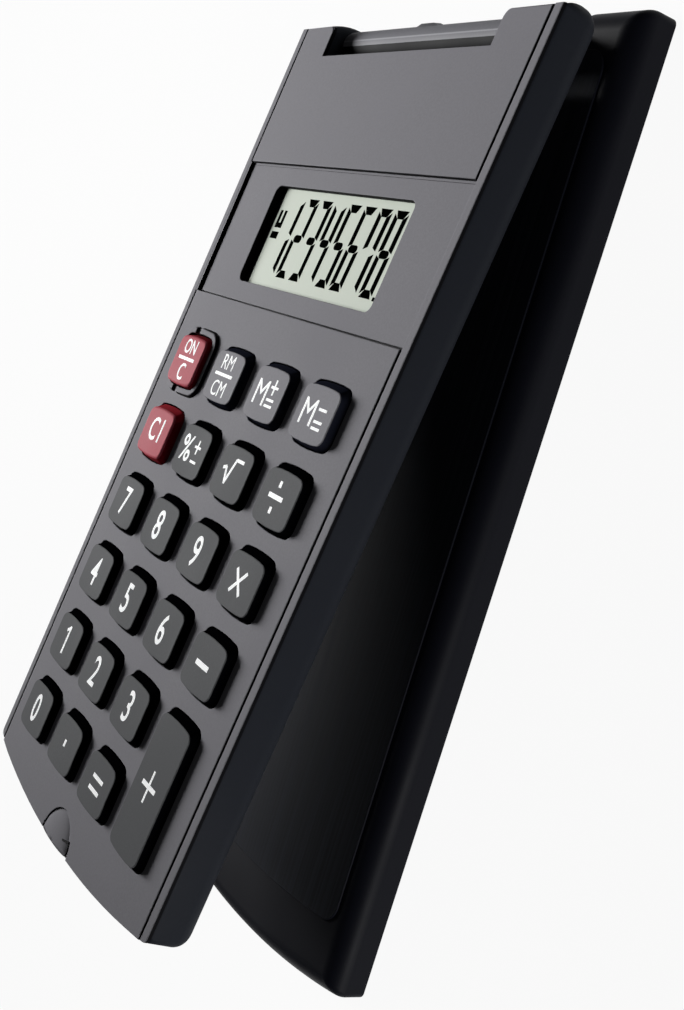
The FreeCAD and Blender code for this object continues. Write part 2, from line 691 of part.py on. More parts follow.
def link_case_axis():
    """Place of the case's hinge axis in the model's frame."""
    tilt = math.radians(LINK_TILT)
    return COVER_AXIS + Vector(0, -LINK_LENGTH * math.sin(tilt), LINK_LENGTH * math.cos(tilt))


def make_hinge_link():
    """Bar with a barrel at each axis and a web between them, in the model's frame."""
    case_axis = link_case_axis()
    barrels = [rod(LINK_CASE_BARREL, -LINK_HALF, LINK_HALF, case_axis.y, case_axis.z),
               rod(LINK_COVER_BARREL, -LINK_HALF, LINK_HALF, COVER_AXIS.y, COVER_AXIS.z)]
    web = box(-LINK_HALF, LINK_HALF, -LINK_WEB / 2, LINK_WEB / 2, 0, LINK_LENGTH)
    web.rotate(Vector(0, 0, 0), Vector(1, 0, 0), LINK_TILT)
    web.translate(COVER_AXIS)
    tab = box(TAB_X - TAB_WIDTH / 2, TAB_X + TAB_WIDTH / 2, 0, LINK_CASE_BARREL + TAB_RISE,
              -TAB_DEPTH / 2, TAB_DEPTH / 2)
    tab.rotate(Vector(0, 0, 0), Vector(1, 0, 0), TAB_ANGLE - COVER_ANGLE)
    tab.translate(case_axis)
    link = joined(barrels[0], [barrels[1], web, tab])
    bores = []
    for axis, radius in ((case_axis, CASE_PIN_RADIUS), (COVER_AXIS, COVER_PIN_RADIUS)):
        depth = PIN_IN_LINK + PIN_END_GAP
        for start in (LINK_HALF - depth, -LINK_HALF):
            bores.append(rod(radius + PIN_RUNNING, start, start + depth, axis.y, axis.z))
    return link.cut(bores)


def make_cover():
    """Hard cover: a shallow tray with a raised outer panel and two ears for the link."""
    side_end = COVER_HINGE_END - COVER_SIDE_LENGTH
    outline = end_outline(HALF_WIDTH, COVER_HINGE_END, side_end, COVER_ARC_RADIUS)
    cover = rounded_block(outline, 0, COVER_MARGIN_HEIGHT, COVER_CORNER_ROUND,
                          COVER_CORNER_ROUND, COVER_ROUND, COVER_MARGIN_HEIGHT)
    panel_half = HALF_WIDTH - COVER_PANEL_MARGIN
    panel_end = side_end - COVER_SAG + COVER_PANEL_END + arc_sag(panel_half, COVER_PANEL_ARC)
    panel = prism(end_outline(panel_half, COVER_HINGE_END - COVER_PANEL_TOP, panel_end,
                              COVER_PANEL_ARC),
                  COVER_MARGIN_HEIGHT - COVER_PANEL_RISE, COVER_THICKNESS)
    panel = round_edges(panel, COVER_PANEL_CORNER,
                        lambda edge: edge.BoundBox.ZLength > COVER_PANEL_RISE
                        and edge.BoundBox.XLength < 1e-3)
    cover = joined(cover, [panel])
    notch_end = COVER_AXIS_Y - COVER_NOTCH_BELOW_AXIS
    inner_end = inner_side_end(COVER_WALL, side_end, COVER_ARC_RADIUS)
    ceiling = COVER_MARGIN_HEIGHT - COVER_TOP_WALL
    inner_outline = end_outline(HALF_WIDTH - COVER_WALL, notch_end - COVER_WALL, inner_end,
                                COVER_ARC_RADIUS - COVER_WALL)
    hollow = rounded_block(inner_outline, -COVER_THICKNESS, ceiling, INNER_CORNER,
                           INNER_CORNER, INNER_ROUND, ceiling)
    cuts = [hollow, box(-NOTCH_HALF, NOTCH_HALF, notch_end, FAR, -FAR, FAR)]
    reach = PIN_IN_EAR + PIN_END_GAP
    for start in (NOTCH_HALF, -NOTCH_HALF - reach):
        cuts.append(rod(COVER_PIN_RADIUS + PIN_FIT, start, start + reach, COVER_AXIS.y,
                        COVER_AXIS.z))
    return cover.cut(cuts)


def place_on_link(shape):
    """Move a shape from the case frame to its place in the model's frame."""
    shape.translate(-CASE_AXIS)
    shape.rotate(Vector(0, 0, 0), Vector(1, 0, 0), -COVER_ANGLE)
    shape.translate(link_case_axis())
    return shape


def closed_angles():
    """Travel of the two hinges from the photographed pose to the closed cover."""
    rise = COVER_AXIS_HEIGHT + CLOSED_GAP + CASE_AXIS_DEPTH
    closed_link = 180 - math.degrees(math.acos(rise / LINK_LENGTH))
    link_travel = closed_link - LINK_ANGLE
    return link_travel, 360 - COVER_ANGLE - link_travel


def build():
    """Make every node of the calculator.

    Returns:
        Dictionary of node name to shape, in the model's frame.
    """
    envelope = make_case_envelope()
    case_nodes = {
        "front_shell": make_front_shell(envelope),
        "rear_shell": make_rear_shell(envelope),
        "case_screws": make_case_screws(),
        "lcd_panel": make_lcd_panel(),
        "lcd_connector": make_lcd_connector(),
        "circuit_board": make_circuit_board(),
        "keypad_mat": make_keypad_mat(),
        "chip_cover": make_chip(),
        "button_cell": make_button_cell(),
        "cell_contact_plus": make_contact(True),
        "cell_contact_minus": make_contact(False),
        "case_hinge_pins": make_case_pins(),
    }
    for key in key_places():
        case_nodes[key.name] = make_key(key)
    nodes = {name: place_on_link(shape) for name, shape in case_nodes.items()}
    nodes["hinge_link"] = make_hinge_link()
    nodes["cover_hinge_pins"] = make_cover_pins()
    nodes["cover"] = make_cover()
    return nodes


def main():
    """Write one STEP file for each node and print the joints' places and travels."""
    os.makedirs("parts", exist_ok=True)
    for name, shape in build().items():
        shape.exportStep("parts/" + name + ".step")
        extent = shape.BoundBox
        print("%-20s solids %d valid %s volume %9.2f  x %.2f %.2f  y %.2f %.2f  z %.2f %.2f" % (
            name, len(shape.Solids), shape.isValid(), shape.Volume, extent.XMin, extent.XMax,
            extent.YMin, extent.YMax, extent.ZMin, extent.ZMax))
    axis = link_case_axis()
    link_travel, cover_travel = closed_angles()
    print("case hinge axis at y %.4f z %.4f, link travel %.3f" % (axis.y, axis.z, link_travel))
    print("cover hinge axis at y %.4f z %.4f, cover travel %.3f"
          % (COVER_AXIS.y, COVER_AXIS.z, cover_travel))


main()
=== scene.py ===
"""Pocket calculator with a hard cover on a two-axis hinge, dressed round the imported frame.

Shapes are made in millimetres in the frame of the part that carries them and are put in
place at the end: the case frame has x to the right, y towards the hinge and z out of the
front, and the cover frame is the model's own.
"""
import functools
import json
import logging
import math
from dataclasses import dataclass
from enum import Enum
from typing import Callable, Sequence

import bmesh
import bpy
from mathutils import Matrix, Vector


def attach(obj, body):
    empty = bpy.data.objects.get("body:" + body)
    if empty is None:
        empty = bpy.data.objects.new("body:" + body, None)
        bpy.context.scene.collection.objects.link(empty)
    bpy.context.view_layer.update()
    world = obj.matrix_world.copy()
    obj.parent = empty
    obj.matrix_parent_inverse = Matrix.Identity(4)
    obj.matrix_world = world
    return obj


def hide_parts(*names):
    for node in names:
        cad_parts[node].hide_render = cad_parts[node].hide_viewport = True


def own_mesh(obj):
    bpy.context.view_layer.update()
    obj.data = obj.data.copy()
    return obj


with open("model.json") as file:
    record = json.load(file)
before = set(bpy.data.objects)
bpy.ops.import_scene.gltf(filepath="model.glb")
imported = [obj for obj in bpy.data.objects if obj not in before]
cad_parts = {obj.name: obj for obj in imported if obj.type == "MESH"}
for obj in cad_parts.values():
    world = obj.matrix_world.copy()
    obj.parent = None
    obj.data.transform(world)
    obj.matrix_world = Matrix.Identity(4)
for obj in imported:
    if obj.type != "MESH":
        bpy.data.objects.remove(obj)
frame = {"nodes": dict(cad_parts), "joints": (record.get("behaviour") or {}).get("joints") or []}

log = logging.getLogger("calculator")

Shape = bmesh.types.BMesh
Edge = bmesh.types.BMEdge
Vert = bmesh.types.BMVert
Socket = bpy.types.NodeSocket
Node = bpy.types.Node
Colour = tuple[float, float, float, float]
Triple = tuple[float, float, float]
Pair = tuple[float, float]

MM = 0.001
SMOOTH_ANGLE = math.radians(34)
CLOSE = 1e-4
INK_THICKNESS = 0.02
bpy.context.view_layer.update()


# Places

CASE_TILT = 8.6
CASE_AXIS_IN_CASE = Vector((0.0, -1.2, -4.4))


def case_place() -> Matrix:
    """Matrix from the case frame, in millimetres, to the model's frame, in metres."""
    axis = next(joint for joint in frame["joints"] if joint["name"] == "case_hinge")
    return (Matrix.Translation(Vector(axis["pos_m"]))
            @ Matrix.Rotation(math.radians(-CASE_TILT), 4, "X")
            @ Matrix.Scale(MM, 4)
            @ Matrix.Translation(-CASE_AXIS_IN_CASE))


CASE = case_place()
COVER = Matrix.Scale(MM, 4)


# Colours


def tint(red: int, green: int, blue: int) -> Colour:
    """Turn a colour of a colour card, from 0 to 255, into a linear one."""
    def linear(value: int) -> float:
        share = value / 255
        return share / 12.92 if share <= 0.04045 else ((share + 0.055) / 1.055) ** 2.4
    return linear(red), linear(green), linear(blue), 1.0


# Node groups that several finishes share


def new_group(name: str, inputs: dict[str, float], outputs: dict[str, str]) -> bpy.types.NodeTree:
    """Make an empty node group.

    Args:
        name: name of the group.
        inputs: number inputs with their values.
        outputs: outputs with their kinds of socket.

    Returns:
        The group, with its two end nodes named Group Input and Group Output.
    """
    tree = bpy.data.node_groups.new(name, "ShaderNodeTree")
    for label, value in inputs.items():
        tree.interface.new_socket(name=label, in_out="INPUT",
                                  socket_type="NodeSocketFloat").default_value = value
    for label, kind in outputs.items():
        tree.interface.new_socket(name=label, in_out="OUTPUT", socket_type=kind)
    tree.nodes.new("NodeGroupInput")
    tree.nodes.new("NodeGroupOutput")
    return tree


class Wiring:
    """A node tree that is being wired up."""

    def __init__(self, tree: bpy.types.NodeTree) -> None:
        """Keep the tree."""
        self.tree = tree

    def add(self, kind: str, inputs: dict[str, object] | None = None,
            **settings: object) -> Node:
        """Add a node.

        Args:
            kind: Blender's name of the node type.
            inputs: values or output sockets for its inputs, by name or by number as text.
            settings: properties of the node.

        Returns:
            The new node.
        """
        node = self.tree.nodes.new(kind)
        for key, value in settings.items():
            setattr(node, key, value)
        self.feed(node, inputs or {})
        return node

    def group(self, tree: bpy.types.NodeTree, **inputs: object) -> Node:
        """Add a node group with values for its inputs, a space in whose names is written _."""
        return self.add("ShaderNodeGroup", {key.replace("_", " "): value
                                            for key, value in inputs.items()}, node_tree=tree)

    def feed(self, node: Node, inputs: dict[str, object]) -> None:
        """Give a node's inputs, named as for add, their values or join sockets to them."""
        for key, value in inputs.items():
            socket = node.inputs[int(key)] if key.isdigit() else node.inputs[key]
            if isinstance(value, Socket):
                self.tree.links.new(value, socket)
            else:
                socket.default_value = value

    def maths(self, operation: str, first: object, second: object = 0.0,
              clamp: bool = False) -> Socket:
        """Add a math node and return its output."""
        node = self.add("ShaderNodeMath", {"0": first, "1": second}, operation=operation,
                        use_clamp=clamp)
        return node.outputs[0]

    def mix(self, factor: object, first: object, second: object) -> Socket:
        """Mix two colours and return the result."""
        return self.add("ShaderNodeMix", {"0": factor, "6": first, "7": second},
                        data_type="RGBA").outputs[2]

    def remap(self, value: object, low: float, high: float, start: float = 0.0,
              end: float = 1.0) -> Socket:
        """Stretch a span of values to another and return the result."""
        node = self.add("ShaderNodeMapRange", {"0": value, "1": low, "2": high, "3": start,
                                               "4": end})
        return node.outputs[0]

    def result(self, name: str, socket: Socket) -> None:
        """Join a socket to an output of the group."""
        self.tree.links.new(socket, self.tree.nodes["Group Output"].inputs[name])

    def wanted(self, name: str) -> Socket:
        """Give the group's own input of that name."""
        return self.tree.nodes["Group Input"].outputs[name]


@functools.cache
def moulded_grain() -> bpy.types.NodeTree:
    """Fine sparkle-free grain of moulded or sprayed plastic, with a slow change of tone."""
    tree = new_group("moulded_grain", {"Grain Scale": 3500.0, "Cloud Scale": 60.0},
                     {"Height": "NodeSocketFloat", "Cloud": "NodeSocketFloat",
                      "Fleck": "NodeSocketFloat"})
    wiring = Wiring(tree)
    place = wiring.add("ShaderNodeTexCoord").outputs["Object"]
    grain = wiring.add("ShaderNodeTexNoise", {"Vector": place, "Detail": 2.0,
                                              "Scale": wiring.wanted("Grain Scale")})
    cloud = wiring.add("ShaderNodeTexNoise", {"Vector": place, "Detail": 3.0,
                                              "Scale": wiring.wanted("Cloud Scale")})
    pits = wiring.add("ShaderNodeTexVoronoi", {"Vector": place,
                                               "Scale": wiring.wanted("Grain Scale")})
    wiring.result("Height", wiring.maths("MULTIPLY_ADD", grain.outputs["Fac"],
                                         pits.outputs["Distance"]))
    wiring.result("Cloud", wiring.remap(cloud.outputs["Fac"], 0.3, 0.7))
    wiring.result("Fleck", wiring.remap(grain.outputs["Fac"], 0.35, 0.65))
    return tree


@functools.cache
def painted_edge_highlight() -> bpy.types.NodeTree:
    """Mask that is strong along outer edges, where a painted highlight makes a finish lighter."""
    tree = new_group("painted_edge_highlight", {"Reach": 0.00025, "Gain": 6.0}, {"Mask": "NodeSocketFloat"})
    wiring = Wiring(tree)
    rounded = wiring.add("ShaderNodeBevel", {"Radius": wiring.wanted("Reach")}, samples=6)
    true_normal = wiring.add("ShaderNodeNewGeometry").outputs["Normal"]
    agree = wiring.add("ShaderNodeVectorMath", {"0": rounded.outputs[0], "1": true_normal},
                       operation="DOT_PRODUCT").outputs["Value"]
    away = wiring.maths("SUBTRACT", 1.0, agree)
    wiring.result("Mask", wiring.maths("MULTIPLY", away, wiring.wanted("Gain"), clamp=True))
    return tree


@functools.cache
def brushed_lines() -> bpy.types.NodeTree:
    """Fine lines that run along y, as on brushed or sanded sheet."""
    tree = new_group("brushed_lines", {"Density": 2600.0, "Run": 12.0},
                     {"Height": "NodeSocketFloat", "Tone": "NodeSocketFloat"})
    wiring = Wiring(tree)
    place = wiring.add("ShaderNodeTexCoord").outputs["Object"]
    parts = wiring.add("ShaderNodeSeparateXYZ", {"0": place})
    stretched = wiring.add("ShaderNodeCombineXYZ", {
        "X": wiring.maths("MULTIPLY", parts.outputs["X"], wiring.wanted("Density")),
        "Y": wiring.maths("MULTIPLY", parts.outputs["Y"], wiring.wanted("Run")),
        "Z": wiring.maths("MULTIPLY", parts.outputs["Z"], wiring.wanted("Run"))})
    lines = wiring.add("ShaderNodeTexNoise", {"Vector": stretched.outputs[0], "Scale": 1.0,
                                              "Detail": 4.0, "Roughness": 0.6})
    wiring.result("Height", lines.outputs["Fac"])
    wiring.result("Tone", wiring.remap(lines.outputs["Fac"], 0.35, 0.7))
    return tree


# Finishes


@dataclass(frozen=True)
class Finish:
    """What every finish has: a name, a colour and how shiny it is."""

    name: str
    colour: Colour
    roughness: float = 0.5
    specular: float = 0.4
    metallic: float = 0.0
    coat: float = 0.0
    coat_roughness: float = 0.12
    glow: float = 0.0

    def start(self) -> tuple[Wiring, Node, bpy.types.Material]:
        """Make the material with its shader.

        Returns:
            The wiring of the material, its shader node and the material.
        """
        material = bpy.data.materials.new(self.name)
        material.use_nodes = True
        material.diffuse_color = self.colour
        wiring = Wiring(material.node_tree)
        shader = material.node_tree.nodes["Principled BSDF"]
        wiring.feed(shader, {
            "Base Color": self.colour, "Roughness": self.roughness,
            "Specular IOR Level": self.specular, "Metallic": self.metallic,
            "Coat Weight": self.coat, "Coat Roughness": self.coat_roughness,
            "Emission Color": self.colour, "Emission Strength": self.glow})
        return wiring, shader, material

    def bump(self, wiring: Wiring, shader: Node, height: Socket, depth: float) -> None:
        """Join a height to the shader's normal through a bump of that depth in metres."""
        node = wiring.add("ShaderNodeBump", {"Height": height, "Distance": depth,
                                             "Strength": 1.0})
        wiring.feed(shader, {"Normal": node.outputs["Normal"]})

    def tone(self, share: float) -> Colour:
        """Give the finish's colour made lighter or darker by a share."""
        return tuple(min(1.0, part * share) for part in self.colour[:3]) + (1.0,)


@dataclass(frozen=True)
class MouldedFinish(Finish):
    """Moulded or sprayed plastic with a fine grain, a slow mottle and a painted highlight along
    its edges.
    """

    grain_scale: float = 3500.0
    grain_depth: float = 6e-6
    mottle: float = 0.06
    edge_highlight_tone: float = 1.5
    edge_highlight_reach: float = 0.00022

    def material(self) -> bpy.types.Material:
        """Build the material."""
        wiring, shader, material = self.start()
        grain = wiring.group(moulded_grain(), Grain_Scale=self.grain_scale)
        edges = wiring.group(painted_edge_highlight(), Reach=self.edge_highlight_reach)
        slow = wiring.mix(grain.outputs["Cloud"], self.tone(1 - self.mottle),
                          self.tone(1 + self.mottle))
        fine = wiring.mix(wiring.maths("MULTIPLY", grain.outputs["Fleck"], 0.5), slow,
                          self.tone(1 + 2 * self.mottle))
        # Painted highlight: the colour is made lighter along outer edges.
        colour = wiring.mix(edges.outputs["Mask"], fine, self.tone(self.edge_highlight_tone))
        gloss = wiring.remap(grain.outputs["Cloud"], 0.0, 1.0, self.roughness - 0.05,
                             self.roughness + 0.05)
        wiring.feed(shader, {"Base Color": colour, "Roughness": gloss})
        self.bump(wiring, shader, grain.outputs["Height"], self.grain_depth)
        return material


@dataclass(frozen=True)
class BrushedFinish(Finish):
    """Sheet with fine lines that run along the case, and a painted highlight along its edges."""

    density: float = 2600.0
    line_depth: float = 4e-6
    contrast: float = 0.35
    edge_highlight_tone: float = 2.2

    def material(self) -> bpy.types.Material:
        """Build the material."""
        wiring, shader, material = self.start()
        lines = wiring.group(brushed_lines(), Density=self.density)
        edges = wiring.group(painted_edge_highlight())
        brushed = wiring.mix(lines.outputs["Tone"], self.tone(1 - self.contrast),
                             self.tone(1 + self.contrast))
        # Painted highlight: the colour is made lighter along outer edges.
        colour = wiring.mix(edges.outputs["Mask"], brushed, self.tone(self.edge_highlight_tone))
        gloss = wiring.remap(lines.outputs["Tone"], 0.0, 1.0, self.roughness - 0.07,
                             self.roughness + 0.07)
        wiring.feed(shader, {"Base Color": colour, "Roughness": gloss})
        self.bump(wiring, shader, lines.outputs["Height"], self.line_depth)
        return material


@dataclass(frozen=True)
class MetalFinish(Finish):
    """Turned, plated or rolled metal with fine scratches."""

    metallic: float = 1.0
    roughness: float = 0.32
    scratch_depth: float = 2e-6
    density: float = 5000.0
    run: float = 300.0

    def material(self) -> bpy.types.Material:
        """Build the material."""
        wiring, shader, material = self.start()
        lines = wiring.group(brushed_lines(), Density=self.density, Run=self.run)
        grain = wiring.group(moulded_grain())
        tarnish = wiring.mix(grain.outputs["Cloud"], self.tone(0.82), self.tone(1.05))
        gloss = wiring.remap(grain.outputs["Cloud"], 0.0, 1.0, self.roughness - 0.08,
                             self.roughness + 0.1)
        wiring.feed(shader, {"Base Color": tarnish, "Roughness": gloss})
        self.bump(wiring, shader, lines.outputs["Height"], self.scratch_depth)
        return material


@dataclass(frozen=True)
class GlassFaceFinish(Finish):
    """Pale reflecting back of a liquid crystal display seen through its polished glass."""

    grain_scale: float = 9000.0
    cloud_scale: float = 25.0

    def material(self) -> bpy.types.Material:
        """Build the material."""
        wiring, shader, material = self.start()
        grain = wiring.group(moulded_grain(), Grain_Scale=self.grain_scale,
                             Cloud_Scale=self.cloud_scale)
        field_tone = wiring.mix(grain.outputs["Cloud"], self.tone(0.97), self.tone(1.03))
        speckled = wiring.mix(wiring.maths("MULTIPLY", grain.outputs["Fleck"], 0.25),
                              field_tone, self.tone(0.9))
        wiring.feed(shader, {"Base Color": speckled})
        return material


@dataclass(frozen=True)
class BoardFinish(Finish):
    """Lacquered circuit board with copper tracks under the lacquer."""

    track: Colour = tint(120, 150, 70)
    track_height: float = 1.5e-5

    def material(self) -> bpy.types.Material:
        """Build the material."""
        wiring, shader, material = self.start()
        place = wiring.add("ShaderNodeTexCoord").outputs["Object"]
        tracks = wiring.add("ShaderNodeTexBrick", {
            "Vector": place, "Scale": 260.0, "Mortar Size": 0.12, "Color1": (0, 0, 0, 1),
            "Color2": (0, 0, 0, 1), "Mortar": (1, 1, 1, 1), "Brick Width": 1.7,
            "Row Height": 0.4})
        grain = wiring.group(moulded_grain())
        lacquer = wiring.mix(grain.outputs["Cloud"], self.tone(0.8), self.tone(1.15))
        colour = wiring.mix(tracks.outputs["Color"], lacquer, self.track)
        wiring.feed(shader, {"Base Color": colour})
        self.bump(wiring, shader, tracks.outputs["Color"], self.track_height)
        return material


def moulded(name: str, colour: tuple[int, int, int], roughness: float, edge_highlight_tone: float,
            specular: float, **more: float) -> MouldedFinish:
    """Give a moulded finish whose colour is stated as for tint."""
    return MouldedFinish(name, tint(*colour), roughness=roughness, edge_highlight_tone=edge_highlight_tone, specular=specular,
                         **more)


PANEL_PAINT = moulded("panel_paint", (122, 121, 126), 0.75, 1.2, 0.05)
# Dark core plastic; also painted shade on the front's steps facing +x, on the link's side towards
# the case and on the thumb recess's slits.
PANEL_CORE_AND_SHADE = moulded("panel_core_and_shade", (9, 9, 12), 0.7, 1.6, 0.05)
SHELL_PLASTIC = moulded("shell_plastic", (27, 30, 37), 0.6, 1.3, 0.1)
COVER_PLASTIC = moulded("cover_plastic", (15, 16, 23), 0.5, 1.9, 0.08)
COVER_SHEET = BrushedFinish("cover_sheet", tint(32, 34, 40), roughness=0.7, specular=0.05)
LINK_PLASTIC = moulded("link_plastic", (112, 112, 117), 0.6, 1.2, 0.1)
# Lighter line along the top of the link: a painted highlight.
LINK_HIGHLIGHT_LINE = moulded("link_highlight_line", (150, 150, 155), 0.6, 1.0, 0.1)
DARK_KEY_FACE = moulded("dark_key_face", (86, 87, 89), 0.75, 1.35, 0.05)
LIGHT_KEY_FACE = moulded("light_key_face", (130, 129, 134), 0.75, 1.2, 0.05)
RED_KEY_FACE = moulded("red_key_face", (176, 74, 86), 0.7, 1.15, 0.06)
# Key walls are coloured far darker than the key tops: partly the keys' own darker plastic, partly
# painted shade on the walls.
DARK_KEY_WALL_AND_SHADE = moulded("dark_key_wall", (4, 4, 6), 0.9, 1.1, 0.0)
LIGHT_KEY_WALL_AND_SHADE = moulded("light_key_wall", (30, 32, 42), 0.9, 1.1, 0.0)
RED_KEY_WALL_AND_SHADE = moulded("red_key_wall", (140, 14, 30), 0.8, 1.1, 0.02)
# The ink glows a little: painted light that makes the print read whiter.
KEY_INK = moulded("key_ink", (250, 251, 251), 0.7, 1.0, 0.1, mottle=0.02, glow=0.22)
# The display's pale back glows a little: painted light that lifts the shade that the window's
# walls cast on it.
DISPLAY_FACE = GlassFaceFinish("display_face", tint(188, 195, 183), roughness=0.6, specular=0.05,
                               glow=0.15)
DISPLAY_EDGE = moulded("display_edge", (10, 11, 14), 0.6, 1.0, 0.05)
LIQUID_CRYSTAL = moulded("liquid_crystal", (3, 4, 3), 0.9, 1.0, 0.0)
CONNECTOR_RUBBER = moulded("connector_rubber", (190, 190, 185), 0.7, 1.1, 0.4)
MAT_RUBBER = moulded("mat_rubber", (150, 152, 150), 0.75, 1.1, 0.4)
BOARD = BoardFinish("board", tint(30, 92, 52), roughness=0.35, coat=0.4)
CHIP_RESIN = moulded("chip_resin", (14, 14, 15), 0.25, 1.0, 0.4)
CELL_STEEL = MetalFinish("cell_steel", tint(200, 200, 202))
CONTACT_METAL = MetalFinish("contact_metal", tint(205, 196, 170))
SCREW_STEEL = MetalFinish("screw_steel", tint(58, 58, 62), roughness=0.4)
PIN_STEEL = MetalFinish("pin_steel", tint(190, 191, 195), roughness=0.25)


@functools.cache
def material_of(finish: Finish) -> bpy.types.Material:
    """Build a finish's material the first time that it is asked for."""
    return finish.material()


# Shapes


@dataclass(frozen=True)
class Outline:
    """Rounded oblong at one height, whose two short ends may bow outwards."""

    width: float
    height: float
    corner: float
    z: float
    crown: float = 0.0
    y: float = 0.0
    bow_steps: int = 4
    corner_steps: int = 5

    def draw(self, shape: Shape) -> list[Edge]:
        """Draw the outline into a mesh.

        Args:
            shape: mesh that the outline is added to.

        Returns:
            The edges of its loop. Its flat face is left in place.
        """
        verts = bmesh.ops.create_grid(shape, x_segments=self.bow_steps, y_segments=1,
                                      size=0.5)["verts"]
        bmesh.ops.scale(shape, vec=(self.width, self.height, 1.0), verts=verts)
        for vert in verts:
            drop = self.crown * (2 * vert.co.x / self.width) ** 2
            vert.co.y -= math.copysign(drop, vert.co.y)
            vert.co.z = self.z
        inner = dict.fromkeys(edge for vert in verts for edge in vert.link_edges
                              if not edge.is_boundary)
        bmesh.ops.dissolve_edges(shape, edges=list(inner), use_verts=False)
        corners = [vert for vert in verts
                   if vert.is_valid and abs(abs(vert.co.x) - self.width / 2) < CLOSE]
        bmesh.ops.translate(shape, vec=(0, self.y, 0),
                            verts=[vert for vert in verts if vert.is_valid])
        rounded = bmesh.ops.bevel(shape, geom=corners, offset=self.corner,
                                  segments=self.corner_steps, profile=0.5,
                                  affect="VERTICES", material=-1)
        loop_face = next(face for vert in rounded["verts"] for face in vert.link_faces
                         if abs(face.calc_center_median().z - self.z) < CLOSE)
        return list(loop_face.edges)


def stacked(outlines: Sequence[Outline]) -> Shape:
    """Build a closed solid from outlines that lie one above the other.

    Args:
        outlines: the outlines from the lowest to the highest.

    Returns:
        The solid, open to further shaping.
    """
    shape = bmesh.new()
    loops = [outline.draw(shape) for outline in outlines]
    for loop in loops[1:-1]:
        bmesh.ops.delete(shape, geom=list(loop[0].link_faces), context="FACES_ONLY")
    for lower, upper in zip(loops, loops[1:]):
        bmesh.ops.bridge_loops(shape, edges=lower + upper)
    bmesh.ops.recalc_face_normals(shape, faces=shape.faces)
    return shape


def block(size: Triple, middle: Triple,
          soften: float = 0.0, turn: float = 0.0) -> Shape:
    """Build a small block.

    Args:
        size: its three lengths.
        middle: the place of its middle.
        soften: how far its edges are bevelled.
        turn: its turn about z, in degrees.

    Returns:
        The block.
    """
    shape = bmesh.new()
    bmesh.ops.create_cube(shape, size=1.0)
    bmesh.ops.scale(shape, vec=size, verts=shape.verts)
    if soften:
        bmesh.ops.bevel(shape, geom=shape.edges[:], offset=soften, segments=2, profile=0.5,
                        affect="EDGES", material=-1)
    bmesh.ops.rotate(shape, cent=(0, 0, 0), matrix=Matrix.Rotation(math.radians(turn), 3, "Z"),
                     verts=shape.verts)
    bmesh.ops.translate(shape, vec=middle, verts=shape.verts)
    return shape


def show(thing: bpy.types.Object) -> None:
    """Put an object into the scene."""
    bpy.context.scene.collection.objects.link(thing)


def gather(shapes: Sequence[Shape]) -> Shape:
    """Put several meshes into one and free them."""
    together = bmesh.new()
    for shape in shapes:
        carrier = bpy.data.meshes.new("part")
        shape.to_mesh(carrier)
        shape.free()
        together.from_mesh(carrier)
        bpy.data.meshes.remove(carrier)
    return together


def merged_copy(node: str, place: Matrix) -> Shape:
    """Copy a node's mesh into millimetres, with its triangles merged to whole faces.

    Args:
        node: name of the node.
        place: matrix from the wanted frame to the model's.

    Returns:
        The copy.
    """
    shape = bmesh.new()
    shape.from_mesh(frame["nodes"][node].data)
    bmesh.ops.transform(shape, matrix=place.inverted(), verts=shape.verts)
    bmesh.ops.remove_doubles(shape, verts=shape.verts, dist=0.001)
    bmesh.ops.dissolve_limit(shape, angle_limit=math.radians(0.3), verts=shape.verts,
                             edges=shape.edges)
    return shape


def soften_edges(shape: Shape, width: float,
                 wanted: Callable[[Edge], bool], segments: int = 3) -> None:
    """Bevel the sharp outer edges that are wanted."""
    edges = [edge for edge in shape.edges
             if edge.is_manifold and edge.is_convex and edge.calc_face_angle() > SMOOTH_ANGLE
             and wanted(edge)]
    bmesh.ops.bevel(shape, geom=edges, offset=width, segments=segments, profile=0.5,
                    affect="EDGES", material=-1)


def finished(name: str, shape: Shape, place: Matrix, finishes: Sequence[Finish],
             body: str, stands_for: Sequence[str] = ()) -> bpy.types.Object:
    """Make a piece of a mesh, put it in place and let it ride.

    Args:
        name: name of the piece.
        shape: its mesh, in millimetres. It is freed.
        place: matrix from the mesh's frame to the model's.
        finishes: its finishes, in the order of the faces' material numbers.
        body: body that it rides on.
        stands_for: nodes that it replaces.

    Returns:
        The piece.
    """
    bmesh.ops.transform(shape, matrix=place, verts=shape.verts)
    mesh = bpy.data.meshes.new(name)
    shape.to_mesh(mesh)
    shape.free()
    for finish in finishes:
        mesh.materials.append(material_of(finish))
    mesh.shade_smooth()
    mesh.set_sharp_from_angle(angle=SMOOTH_ANGLE)
    piece = bpy.data.objects.new(name, mesh)
    show(piece)
    shading = piece.modifiers.new("even_shading", "WEIGHTED_NORMAL")
    shading.keep_sharp = True
    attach(piece, body)
    if stands_for:
        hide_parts(*stands_for)
    log.info("%s: %d faces on %s", name, len(mesh.polygons), body)
    return piece


